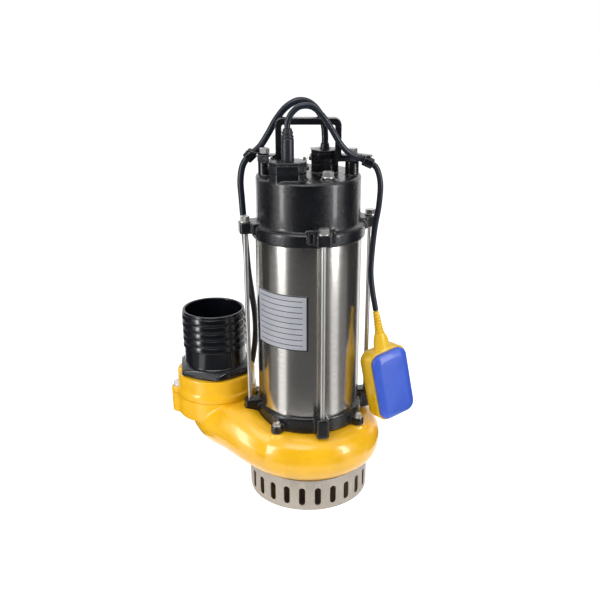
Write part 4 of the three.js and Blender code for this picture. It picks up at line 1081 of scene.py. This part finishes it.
def gland_cover(name, gland, node_name, bore_r):
    """An octagonal gland box with a seam under its lid and two screw ears at the back."""
    low, high = bottom_of(node_name), top_of(node_name)
    seam = high - 0.0042
    box = prism(name, octagon(gland), low, seam)
    neck = prism("neck", octagon(gland, 0.0012), seam - 0.001, seam + 0.002)
    lid = prism("lid", octagon(gland, -0.0002), seam + 0.0009, high)
    lid = bevelled(lid, 0.0014, angle=40)
    ears = [disc("ear", 0.0055, low, low + 0.005, place, 0.0008, 40) for place in gland_screw_places(gland)]
    body = union(bevelled(box, 0.0008, angle=40), neck, lid, *ears)
    return cut(
        body, disc("bore", bore_r + GAP, low - 0.01, high + 0.01, (gland["x"], gland["y"]), segments=64),
    )


def gland_screw_places(gland):
    return [
        (gland["x"] + side * (gland["width"] / 2 - 0.002), gland["y"] + gland["depth"] / 2 - 0.003)
        for side in (-1, 1)
    ]


def gland_screw(name, place, seat):
    stud = disc("stud", 0.0022, seat - 0.004, seat + 0.012, place, 0.0005, 24)
    nut = hexagonal("nut", 0.0075, seat, seat + 0.0045, place, turn=0.4)
    cap = disc("cap", 0.0032, seat + 0.010, seat + 0.0135, place, 0.0008, 32)
    return grouped(name, stud, nut, cap)


def cable_boot(name, gland, radius, tip_r, low, high, collars):
    """A tapered boot with raised rings near its tip."""
    profile = [(0, low), (radius, low), (radius, high - 0.014, 0.004)]
    for i in range(collars):
        foot = high - 0.0125 + i * 0.0052
        narrow = radius - 0.0012 - i * 0.0007
        profile += [
            (narrow, foot, 0.0004), (narrow + 0.0010, foot + 0.0007, 0.0004),
            (narrow + 0.0008, foot + 0.003, 0.0004), (narrow - 0.0002, foot + 0.0036, 0.0004),
        ]
    profile += [(tip_r, high, 0.0008), (0, high)]
    return spun(name, filleted(profile, closed=False), (gland["x"], gland["y"]), 64)


def handle():
    """A strap bent twice on each side, on two feet."""
    outer, inner, high = HANDLE_SPAN / 2, HANDLE_SPAN / 2 - STRAP, HANDLE_TOP
    foot, seat = HANDLE_SPAN / 2 + HANDLE_FOOT, HANDLE_SEAT
    outline = filleted((
        (-foot, seat, 0.001), (-inner, seat, 0.003), (-inner, high - STRAP, 0.003),
        (inner, high - STRAP, 0.003),
        (inner, seat, 0.003), (foot, seat, 0.001), (foot, seat + STRAP, 0.001), (outer, seat + STRAP, 0.003),
        (outer, high, 0.010), (-outer, high, 0.010), (-outer, seat + STRAP, 0.003),
        (-foot, seat + STRAP, 0.001),
    ))
    low, high_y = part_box("handle")[0].y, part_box("handle")[1].y
    upright = Matrix.Rotation(math.radians(90), 4, "X")
    strap = bevelled(prism("handle", outline, -high_y, -low, upright), 0.0018, angle=50, segments=4)
    holes = [
        disc("hole", 0.0038, seat - 0.01, seat + STRAP + 0.01, (side * HANDLE_BOLT_X, HANDLE_Y), segments=32)
        for side in (-1, 1)
    ]
    return cut(strap, *holes)


CLIPS = {
    "cable_clip_left": {"place": Vector((-0.085, 0.010, 0.544)), "slope": 44, "cord_r": POWER_CORD_R},
    "cable_clip_right": {"place": Vector((0.085, -0.025, 0.541)), "slope": 25, "cord_r": FLOAT_CORD_R},
}
CLIP_LENGTH = 0.015
CLIP_WALL = 0.0025
CLIP_GAP = 0.0009
CLIP_TAB = 0.002
CLIP_TAB_R = 0.006


def cable_clip(name):
    """A band around the cable on a tab that the handle's bolt holds."""
    place, slope, cord_r = CLIPS[name].values()
    side = math.copysign(1, place.x)
    inner = cord_r + CLIP_GAP
    tab = HANDLE_SEAT + STRAP
    bolt_place = Vector((side * HANDLE_BOLT_X, HANDLE_Y))
    reach = place.xy - bolt_place
    turn = Matrix.Rotation(math.atan2(reach.y, reach.x), 4, "Z")
    lie = Matrix.Translation((*(bolt_place + reach / 2), 0)) @ turn
    outline = rounded_rectangle(reach.length + 2 * CLIP_TAB_R, 2 * CLIP_TAB_R, CLIP_TAB_R * 0.98)
    plate = prism("plate", outline, tab, tab + CLIP_TAB, lie)
    riser = block("riser", (place.x - 0.003, place.y - 0.003, place.z + inner),
                  (place.x + 0.003, place.y + 0.003, tab + CLIP_TAB))
    tilt = Matrix.Translation(place) @ Matrix.Rotation(math.radians(90 + side * slope), 4, "Y")
    half = CLIP_LENGTH / 2
    band = disc(name, inner + CLIP_WALL, -half, half, edge=0.0012, segments=72)
    band.data.transform(tilt)
    core = disc("core", inner, -4 * half, 4 * half, segments=72)
    core.data.transform(tilt)
    hole = disc("hole", 0.0038, tab - 0.005, tab + 0.010, bolt_place, segments=32)
    body = cast(union(band, plate, riser), 0.0006, 3)
    return cut(body, core, hole)


# ---------------------------------------------------------------- float switch

FLOAT_WIDTH = 0.070
FLOAT_LENGTH = 0.116
FLOAT_THICKNESS = 0.042
FLOAT_TOP = -0.058
FLOAT_CORNER_R = 0.018
FLOAT_SPLIT = -0.011
FLOAT_BOOT = 0.030
FLOAT_MIDDLE = FLOAT_TOP - FLOAT_LENGTH / 2


def hung():
    """Where the float hangs: leaning outwards at its pivot, and turned about its own length."""
    lean = Matrix.Rotation(-math.radians(FLOAT_LEAN), 4, "Y")
    return Matrix.Translation(FLOAT_PIVOT) @ lean @ turned_to(FLOAT_YAW)


def float_loop(inset, depth, corner=FLOAT_CORNER_R):
    outline = rounded_rectangle(
        FLOAT_WIDTH - 2 * inset, FLOAT_LENGTH - 2 * inset, max(0.003, corner - inset), 0.13,
    )
    return [Vector((p.x, depth, FLOAT_MIDDLE + p.y)) for p in outline]


def float_shell():
    """The yellow half: a rounded tray with a shouldered neck that carries the boot."""
    back = FLOAT_THICKNESS / 2
    turns = [math.radians(15 * k) for k in range(7)]
    edge = 0.009
    body = skinned("float_shell", [
        float_loop(0, FLOAT_SPLIT),
        *[float_loop(edge * (1 - math.cos(a)), back - edge + edge * math.sin(a)) for a in turns],
    ])
    neck_loops = []
    for height, half_width, half_depth in (
        (-0.0303, 0.0072, 0.0072), (-0.0335, 0.0082, 0.0080), (-0.039, 0.0108, 0.0094),
        (-0.045, 0.0124, 0.0100),
        (-0.053, 0.0134, 0.0102), (-0.0595, 0.0148, 0.0104), (-0.066, 0.0175, 0.0102),
        (-0.078, 0.0220, 0.0090),
    ):
        angles = [2 * math.pi * j / 48 for j in range(48)]
        neck_loops.append([(half_width * math.cos(a), half_depth * math.sin(a), height) for a in angles])
    body = cast(union(body, skinned("neck", neck_loops)), 0.0011, 5)
    hollow = skinned("hollow", [float_loop(0.003, FLOAT_SPLIT - 0.006), float_loop(0.003, back - 0.003)])
    body = cut(body, hollow)
    body.data.transform(hung())
    return body


def float_cover():
    """The blue half: a bevelled panel with a shallow ridge along it."""
    front = -FLOAT_THICKNESS / 2
    steps = (
        (0.0030, FLOAT_SPLIT), (0.0030, front + 0.0058), (0.0036, front + 0.0046), (0.0048, front + 0.0038),
        (0.0110, front + 0.0008), (0.0130, front + 0.0002), (0.0150, front), (0.0300, front),
    )
    body = skinned("float_cover", [float_loop(inset, depth) for inset, depth in steps])
    body.data.transform(hung())
    return body


def float_boot(rib_count):
    """The ribbed boot where the cable flexes, with a round tip about the pivot."""
    tip_r, base_r = FLOAT_CORD_R + 0.0009, 0.0070
    profile = [(0, -FLOAT_BOOT), (base_r, -FLOAT_BOOT)]
    pitch = (FLOAT_BOOT - 0.002) / rib_count
    for i in range(rib_count):
        low = -FLOAT_BOOT + 0.001 + i * pitch
        radius = base_r + (tip_r - base_r) * (i + 0.5) / rib_count
        profile += [
            (radius, low + 0.12 * pitch, 0.0005), (radius, low + 0.58 * pitch, 0.0005),
            (radius - 0.0016, low + 0.68 * pitch, 0.0004), (radius - 0.0016, low + 1.02 * pitch, 0.0004),
        ]
    profile += [(tip_r * math.cos(a), tip_r * math.sin(a)) for a in (0.05, 0.4, 0.8, 1.2)]
    profile += [(0, tip_r)]
    boot = spun("float_boot", filleted(profile, closed=False), segments=64)
    boot.data.transform(hung())
    return boot


# ---------------------------------------------------------------- cables

def eased(share):
    share = max(0.0, min(1.0, share))
    return share * share * (3 - 2 * share)


def coil_slots(turns):
    """(radius, height) of each turn: along a layer inwards, then along the next one outwards."""
    pitch = 2 * POWER_CORD_R
    radii = [COIL_OUTER_R - pitch * i for i in range(COIL_LAYERS)]
    slots = []
    for k in range(turns + 1):
        layer, i = divmod(k, COIL_LAYERS)
        radius = radii[i] if layer % 2 == 0 else radii[COIL_LAYERS - 1 - i]
        slots.append((radius, POWER_CORD_R + 0.0004 + pitch * layer))
    return slots


def coil_route(turns):
    """The coil's own line: each turn keeps its place, and shifts to the next one in the same short arc."""
    shift_start, shift_end, per_turn = 0.667, 0.833, 72
    slots = coil_slots(turns)
    low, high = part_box("power_plug")
    plug_height, plug_reach = (low.z + high.z) / 2, COIL_CENTRE.y - (low.y + high.y) / 2
    end = turns - 0.25
    route = []
    for step in range(round(end * per_turn) + 1):
        u = step / per_turn
        here, ahead = slots[int(u)], slots[int(u) + 1]
        share = eased((u % 1 - shift_start) / (shift_end - shift_start))
        radius = here[0] + (ahead[0] - here[0]) * share
        height = here[1] + (ahead[1] - here[1]) * share
        if ahead[1] > here[1]:
            side = 1 if here[0] > COIL_OUTER_R - 0.01 else -1
            radius += side * POWER_CORD_R * math.sin(math.pi * share)
        rise = (u - (end - 0.25)) / 0.25
        if rise > 0:
            radius, height = slots[turns - 1]
            height += (plug_height - height) * eased(rise / 0.8)
            radius += (plug_reach - radius) * eased((rise - 0.25) / 0.75)
        angle = math.pi - 2 * math.pi * u
        route.append(COIL_CENTRE + Vector((radius * math.cos(angle), radius * math.sin(angle), height)))
    return route


def cable(name, route, radius):
    """A round cable along a route, as one open curve."""
    curve = bpy.data.curves.new(name, "CURVE")
    curve.dimensions = "3D"
    curve.bevel_depth = radius
    curve.bevel_resolution = 5
    curve.use_fill_caps = True
    spline = curve.splines.new("POLY")
    spline.points.add(len(route) - 1)
    for point, place in zip(spline.points, route):
        point.co = (*place, 1)
    spline.use_smooth = True
    thing = bpy.data.objects.new(name, curve)
    bpy.context.scene.collection.objects.link(thing)
    return thing


def power_plug():
    """A plug lying on its side on the coil: a ribbed grip, a round face and two pins."""
    low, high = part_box("power_plug")
    axis = Vector((high.x, (low.y + high.y) / 2, (low.z + high.z) / 2))
    lie = Matrix.Translation(axis) @ Matrix.Rotation(math.radians(-90), 4, "Y")
    profile = [(0, 0), (0.0065, 0, 0.0005)]
    for i in range(4):
        foot = 0.002 + i * 0.004
        profile += [(0.0067 + i * 0.0003, foot, 0.0003), (0.0079, foot + 0.001, 0.0003),
                    (0.0079, foot + 0.0025, 0.0003), (0.0069, foot + 0.0032, 0.0003)]
    profile += [(0.008, 0.0185, 0.001), (0.014, 0.024, 0.002), (0.017, 0.032, 0.002), (0.017, 0.052, 0.0015),
        (0, 0.052)]
    body = spun("power_plug", filleted(profile, closed=False), segments=72)
    pins = [disc("pin", 0.0024, 0.050, 0.071, (x, 0), 0.001, 32) for x in (-0.0095, 0.0095)]
    body.data.transform(lie)
    for pin in pins:
        pin.data.transform(lie)
    return body, grouped("plug_pins", *pins)


# ---------------------------------------------------------------- settings

class PumpColours(bpy.types.PropertyGroup):
    """The colours of the pump's finishes."""

    casing: bpy.props.FloatVectorProperty(
        name="Casing", description="Enamel on the volute and the outlet flange", subtype="COLOR",
        default=(0.93, 0.50, 0.008), min=0, max=1)
    cap: bpy.props.FloatVectorProperty(
        name="Cap", description="Enamel on the motor cap, oil chamber and handle", subtype="COLOR",
        default=(0.004, 0.0045, 0.007), min=0, max=1)
    barrel: bpy.props.FloatVectorProperty(
        name="Barrel", description="Brushed stainless steel", subtype="COLOR", default=(0.56, 0.54, 0.51),
        min=0, max=1)
    strainer: bpy.props.FloatVectorProperty(
        name="Strainer", description="Pressed stainless sheet", subtype="COLOR",
        default=(0.40, 0.365, 0.325), min=0, max=1)
    bolts: bpy.props.FloatVectorProperty(
        name="Bolts", description="Zinc plate on the bolts and nuts", subtype="COLOR",
        default=(0.78, 0.77, 0.75), min=0, max=1)
    plastic: bpy.props.FloatVectorProperty(
        name="Plastic", description="The hose tail and the cable clips", subtype="COLOR",
        default=(0.004, 0.005, 0.008), min=0, max=1)
    rubber: bpy.props.FloatVectorProperty(
        name="Rubber", description="Cable boots and gaskets", subtype="COLOR", default=(0.012, 0.014, 0.02),
        min=0, max=1)
    cable: bpy.props.FloatVectorProperty(
        name="Cable", description="Sheath of both cables", subtype="COLOR", default=(0.010, 0.014, 0.024),
        min=0, max=1)
    float_shell: bpy.props.FloatVectorProperty(
        name="Float shell", description="The float's back half and its boot", subtype="COLOR",
        default=(0.85, 0.52, 0.008), min=0, max=1)
    float_cover: bpy.props.FloatVectorProperty(
        name="Float cover", description="The float's front half", subtype="COLOR",
        default=(0.036, 0.105, 0.60), min=0, max=1)
    plate: bpy.props.FloatVectorProperty(
        name="Plate", description="The rating plate's foil", subtype="COLOR", default=(0.38, 0.39, 0.43),
        min=0, max=1)


class PumpSizes(bpy.types.PropertyGroup):
    """The counts and sizes that can change without moving a fitting."""

    slots: bpy.props.IntProperty(
        name="Slots", description="Slots around the strainer", default=24, min=8, max=40,
    )
    slot_width: bpy.props.FloatProperty(
        name="Slot width", description="Width of a strainer slot", default=0.0095, subtype="DISTANCE",
        unit="LENGTH")
    slot_length: bpy.props.FloatProperty(
        name="Slot length", description="Length of a strainer slot", default=0.031, subtype="DISTANCE",
        unit="LENGTH")
    barbs: bpy.props.IntProperty(name="Barbs", description="Barbs on the hose tail", default=5, min=2, max=8)
    boot_ribs: bpy.props.IntProperty(
        name="Boot ribs", description="Ribs on the float's boot", default=6, min=2, max=9,
    )
    rules: bpy.props.IntProperty(
        name="Rules", description="Printed rules on the plate", default=9, min=3, max=14,
    )
    coil_turns: bpy.props.IntProperty(
        name="Coil turns", description="Turns of the power cable put away behind the pump", default=16,
        min=4, max=16)
    lamp_power: bpy.props.FloatProperty(
        name="Lamp power", description="Power of each of the two tall lamps", default=9.5, unit="POWER")


def sizes():
    return bpy.context.scene.pump_sizes


# ---------------------------------------------------------------- operators

class PUMP_OT_studio(bpy.types.Operator):
    """Adds the camera, the pale floor, the lamps and the screens that metal reflects"""

    bl_idname = "pump.studio"
    bl_label = "Studio"

    def execute(self, context):
        camera = bpy.data.objects.new("Camera", bpy.data.cameras.new("Camera"))
        camera.location = CAMERA_PLACE
        camera.rotation_euler = (math.radians(90 - CAMERA_PITCH), 0, 0)
        camera.data.lens = CAMERA_FOCAL
        camera.data.sensor_width = 36
        camera.data.shift_x, camera.data.shift_y = CAMERA_SHIFT
        camera.data.clip_end = 30
        context.scene.collection.objects.link(camera)
        context.scene.camera = camera
        context.scene.view_settings.view_transform = "Standard"
        white_world(context.scene)
        floor = disc("floor", 6.0, -0.02, -0.0004, segments=128)
        floor.data.materials.append(floor_finish())
        for side in (-1, 1):
            place = (side * TALL_LAMP_PLACE[0], *TALL_LAMP_PLACE[1:])
            add_lamp(f"Tall lamp {side}", place, TALL_LAMP_SIZE, sizes().lamp_power)
        add_lamp("Top lamp", TOP_LAMP_PLACE, TOP_LAMP_SIZE, TOP_LAMP_POWER)
        for start, end, near, level in FLOOR_CARDS:
            add_floor_card(start, end, near, level)
        add_screen("front_screen", (0, -2.3, 1.3), 4.6, 3.0, 0.02)
        for side in (-1, 1):
            add_screen(f"side_screen_{side}", (1.9 * side, 0.2, 1.0), 1.3, 2.4, 0.03)
        return {"FINISHED"}


def ray_mask(tree):
    """1 for what the camera, a reflection or glass sees, and 0 for what lights the pump."""
    path = node(tree, "LightPath").outputs
    seen = math_node(tree, "MAXIMUM", path["Is Camera Ray"], path["Is Glossy Ray"])
    return math_node(tree, "MAXIMUM", seen, path["Is Transmission Ray"])


def white_world(scene):
    world = bpy.data.worlds.new("White studio")
    world.use_nodes = True
    tree = world.node_tree
    background = tree.nodes["Background"]
    background.inputs["Color"].default_value = (1, 1, 1, 1)
    tree.links.new(mapped(tree, ray_mask(tree), 0.0, 1.0, ROOM_LIGHT, 1.0), background.inputs["Strength"])
    scene.world = world


def floor_finish():
    """A pale floor that shows white, and keeps a part of the shadow that falls on it."""
    material, tree, shader = new_finish("Pale floor")
    shader.inputs["Base Color"].default_value = (0.8, 0.8, 0.8, 1)
    shader.inputs["Roughness"].default_value = 0.9
    shader.inputs["Specular IOR Level"].default_value = 0.0
    shader.inputs["Emission Color"].default_value = (1, 1, 1, 1)
    glow = math_node(tree, "MULTIPLY", ray_mask(tree), FLOOR_GLOW)
    tree.links.new(glow, shader.inputs["Emission Strength"])
    return material


def add_lamp(name, place, size, power):
    lamp = bpy.data.lights.new(name, "AREA")
    lamp.shape = "RECTANGLE"
    lamp.size, lamp.size_y = size
    lamp.energy = power
    thing = bpy.data.objects.new(name, lamp)
    thing.location = place
    thing.rotation_euler = (Vector(LAMP_AIM) - Vector(place)).to_track_quat("-Z", "Y").to_euler()
    bpy.context.scene.collection.objects.link(thing)


def add_floor_card(start, end, near, level):
    """A card on the floor between two angles from the front, for the barrel and the cap to reflect."""
    angles = [start + (end - start) * k / 16 for k in range(17)]
    outline = [around(near, a)[:2] for a in angles] + [around(4.0, a)[:2] for a in reversed(angles)]
    reflected_only(prism(f"floor_card_{start}", outline, 0.0004, 0.0008), level)


def add_screen(name, place, width, height, level):
    """An upright card for the pump to reflect."""
    turn = math.atan2(place[0], -place[1])
    lie = Matrix.Translation(place) @ Matrix.Rotation(turn, 4, "Z")
    reflected_only(block(name, (-width / 2, -0.005, -height / 2), (width / 2, 0.005, height / 2), lie), level)


def reflected_only(card, level):
    """Lights a card evenly, and shows it to reflections alone."""
    material, tree, shader = new_finish(card.name)
    tree.nodes.remove(shader)
    glow = node(tree, "Emission", strength=level)
    tree.links.new(glow.outputs[0], tree.nodes["Material Output"].inputs["Surface"])
    card.data.materials.append(material)
    card.visible_camera = False
    card.visible_diffuse = False
    card.visible_shadow = False


class PUMP_OT_cables(bpy.types.Operator):
    """Lays the float's cable, and the power cable with its coil and plug"""

    bl_idname = "pump.cables"
    bl_label = "Cables"

    def execute(self, context):
        plug, pins = power_plug()
        finished(plug, "power_plug_grip", "pump_body", "black_plastic", "power_plug")
        finished(pins, "power_plug_pins", "pump_body", "zinc")
        route = smooth_route(POWER_CORD_ROUTE) + coil_route(sizes().coil_turns)
        power = cable("power_cable", route, POWER_CORD_R)
        finished(power, "power_cable", "pump_body", "cable_jacket", "power_cord", "power_cord_coil")
        route = smooth_route(FLOAT_CORD_ROUTE)
        tether = cable("float_cable", route, FLOAT_CORD_R)
        finished(tether, "float_cable", "pump_body", "cable_jacket", "float_cord")
        return {"FINISHED"}


class PUMP_OT_casing(bpy.types.Operator):
    """Casts the volute and presses the strainer under it"""

    bl_idname = "pump.casing"
    bl_label = "Casing and strainer"

    def execute(self, context):
        finished(volute_casing(), "volute", "pump_body", "yellow_paint", "volute_casing")
        cup = strainer(sizes().slots, sizes().slot_width, sizes().slot_length)
        finished(cup, "inlet_strainer", "pump_body", "pressed_stainless", "strainer")
        return {"FINISHED"}


class PUMP_OT_outlet(bpy.types.Operator):
    """Adds the outlet's gasket, flange, bolts and barbed hose tail"""

    bl_idname = "pump.outlet"
    bl_label = "Outlet"

    def execute(self, context):
        gasket = collar("gasket", FLANGE_FACE + 0.0001, FLANGE_FACE + GASKET - 0.0001)
        gasket = cut(gasket, disc("bore", DUCT_END_R - CASING_WALL, FLANGE_FACE - 0.01, FLANGE_FACE + 0.01,
            OUTLET[:2]))
        finished(gasket, "gasket", "pump_body", "yellow_paint", "outlet_gasket")
        finished(outlet_flange(), "flange", "pump_body", "yellow_paint", "outlet_flange")
        seal = ring("seal", 0.0513, 0.056, COLLAR_TOP, COLLAR_TOP + GASKET, OUTLET[:2], 0.0006)
        finished(seal, "hose_seal", "pump_body", "rubber", "hose_tail_seal")
        finished(hose_tail(sizes().barbs), "barbed_tail", "pump_body", "black_plastic", "hose_tail")
        for i, angle in enumerate(EAR_ANGLES):
            fixing = bolt(
                "bolt", 0.013, EAR_TOP, 0.006, 0.004, FLANGE_FACE - 0.016, 0.008, 0.0016, ear_place(angle),
            )
            finished(fixing, f"flange_hex_{i + 1}", "pump_body", "zinc", f"flange_bolt_{i + 1}")
        return {"FINISHED"}


class PUMP_OT_oil_chamber(bpy.types.Operator):
    """Adds the oil chamber and the bolts that hold it to the volute"""

    bl_idname = "pump.oil_chamber"
    bl_label = "Oil chamber"

    def execute(self, context):
        finished(oil_chamber(), "chamber", "pump_body", "black_paint", "oil_chamber")
        for i, angle in enumerate(CHAMBER_BOLT_ANGLES):
            place = around(EAR_CIRCLE_R, angle)[:2]
            fixing = bolt(
                "bolt", 0.010, CHAMBER_EAR_TOP, 0.005, CHAMBER_BOLT_R, CASING_TOP - 0.008, 0.007, 0.0014,
                place,
            )
            finished(fixing, f"chamber_hex_{i + 1}", "pump_body", "zinc", f"chamber_bolt_{i + 1}")
        return {"FINISHED"}


class PUMP_OT_barrel(bpy.types.Operator):
    """Adds the motor barrel, its rating plate and the four tie bolts"""

    bl_idname = "pump.barrel"
    bl_label = "Barrel and tie bolts"

    def execute(self, context):
        finished(motor_barrel(), "barrel", "pump_body", "stainless", "motor_barrel")
        plate = finished(rating_plate(sizes().rules), "plate", "pump_body", "label", "rating_plate")
        plate.data.materials.append(plate_ink())
        for i, angle in enumerate(TIE_ANGLES):
            place = around(TIE_CIRCLE_R, angle)[:2]
            fixing = bolt("bolt", 0.013, LUG_TOP, 0.007, TIE_ROD_R, TIE_ROD_BOTTOM, 0.0085, 0.0016, place)
            finished(fixing, f"tie_rod_{i + 1}", "pump_body", "zinc", f"tie_bolt_{i + 1}")
        return {"FINISHED"}


class PUMP_OT_cap(bpy.types.Operator):
    """Casts the motor cap and screws in its filler plug"""

    bl_idname = "pump.cap"
    bl_label = "Motor cap"

    def execute(self, context):
        finished(motor_cap(), "cap", "pump_body", "black_paint", "motor_cap")
        seat = CAP_TOP + 0.003
        plug = bolt("plug", 0.014, seat, 0.0072, 0.006, CAP_TOP - CAP_WALL, 0.009, 0.0018, PLUG_PLACE[:2])
        finished(plug, "filler_plug", "pump_body", "zinc", "cap_plug")
        return {"FINISHED"}


class PUMP_OT_glands(bpy.types.Operator):
    """Adds the two cable glands with their screws and boots"""

    bl_idname = "pump.glands"
    bl_label = "Cable glands"

    def execute(self, context):
        rows = (
            ("float", FLOAT_GLAND, 0.009, FLOAT_CORD_R + 0.002, 2),
            ("power", POWER_GLAND, 0.008, POWER_CORD_R + 0.001, 0),
        )
        screws = 0
        for label, gland, boot_r, tip_r, collars in rows:
            cover = gland_cover("gland", gland, f"{label}_gland", boot_r)
            finished(cover, f"{label}_gland_box", "pump_body", "black_paint", f"{label}_gland")
            low, high = bottom_of(f"{label}_cable_boot"), top_of(f"{label}_cable_boot")
            boot = cable_boot("boot", gland, boot_r, tip_r, low, high, collars)
            finished(boot, f"{label}_boot_sleeve", "pump_body", "rubber", f"{label}_cable_boot")
            for place in gland_screw_places(gland):
                screws += 1
                screw = gland_screw("screw", place, bottom_of(f"{label}_gland") + 0.005)
                finished(screw, f"gland_screw_{screws}", "pump_body", "zinc")
        return {"FINISHED"}


class PUMP_OT_handle(bpy.types.Operator):
    """Adds the strap handle, its bolts and the two cable clips"""

    bl_idname = "pump.handle"
    bl_label = "Handle and clips"

    def execute(self, context):
        finished(handle(), "strap_handle", "pump_body", "black_paint", "handle")
        seat = HANDLE_SEAT + STRAP + CLIP_TAB
        for i, side in enumerate((-1, 1)):
            place = (side * HANDLE_BOLT_X, HANDLE_Y)
            fixing = bolt("bolt", 0.013, seat, 0.007, 0.0035, HANDLE_SEAT - 0.015, place=place)
            finished(fixing, f"handle_hex_{i + 1}", "pump_body", "zinc", f"handle_bolt_{i + 1}")
        for name in CLIPS:
            finished(cable_clip(name), f"{name}_band", "pump_body", "black_plastic", name)
        return {"FINISHED"}


class PUMP_OT_float_switch(bpy.types.Operator):
    """Adds the float switch's yellow shell, blue cover and ribbed boot"""

    bl_idname = "pump.float_switch"
    bl_label = "Float switch"

    def execute(self, context):
        finished(float_shell(), "float_back", "float_switch", "float_yellow", "float_shell", angle=50)
        finished(float_cover(), "float_front", "float_switch", "float_blue", "float_cover", angle=20)
        finished(
            float_boot(sizes().boot_ribs), "float_boot_ribs", "float_switch", "float_yellow", "float_boot",
        )
        return {"FINISHED"}


class PUMP_OT_inner_parts(bpy.types.Operator):
    """Gives the pieces inside the pump their own finishes"""

    bl_idname = "pump.inner_parts"
    bl_label = "Inner parts"

    def execute(self, context):
        for part in frame["record"]["subparts"]:
            thing = frame["nodes"][part["node"]]
            if thing.hide_render:
                continue
            thing.data.materials.clear()
            thing.data.materials.append(FINISHES[part["material_slot"]]())
        return {"FINISHED"}


class PUMP_PT_panel(bpy.types.Panel):
    """Lists the pump's pieces and settings"""

    bl_label = "Sump pump"
    bl_space_type = "VIEW_3D"
    bl_region_type = "UI"
    bl_category = "Pump"

    def draw(self, context):
        for operator in OPERATORS:
            self.layout.operator(operator.bl_idname)
        for settings in (context.scene.pump_sizes, context.scene.pump_colours):
            for name in settings.bl_rna.properties.keys():
                if name not in ("name", "rna_type"):
                    self.layout.prop(settings, name)


OPERATORS = (
    PUMP_OT_studio, PUMP_OT_cables, PUMP_OT_casing, PUMP_OT_outlet, PUMP_OT_oil_chamber, PUMP_OT_barrel,
    PUMP_OT_cap, PUMP_OT_glands, PUMP_OT_handle, PUMP_OT_float_switch, PUMP_OT_inner_parts,
)
CLASSES = (PumpColours, PumpSizes, *OPERATORS, PUMP_PT_panel)


def register():
    for cls in CLASSES:
        bpy.utils.register_class(cls)
    bpy.types.Scene.pump_colours = bpy.props.PointerProperty(type=PumpColours)
    bpy.types.Scene.pump_sizes = bpy.props.PointerProperty(type=PumpSizes)


def unregister():
    del bpy.types.Scene.pump_sizes
    del bpy.types.Scene.pump_colours
    for cls in reversed(CLASSES):
        bpy.utils.unregister_class(cls)


def main():
    register()
    for operator in OPERATORS:
        getattr(bpy.ops.pump, operator.bl_idname.split(".")[1])()


if __name__ == "__main__":
    main()
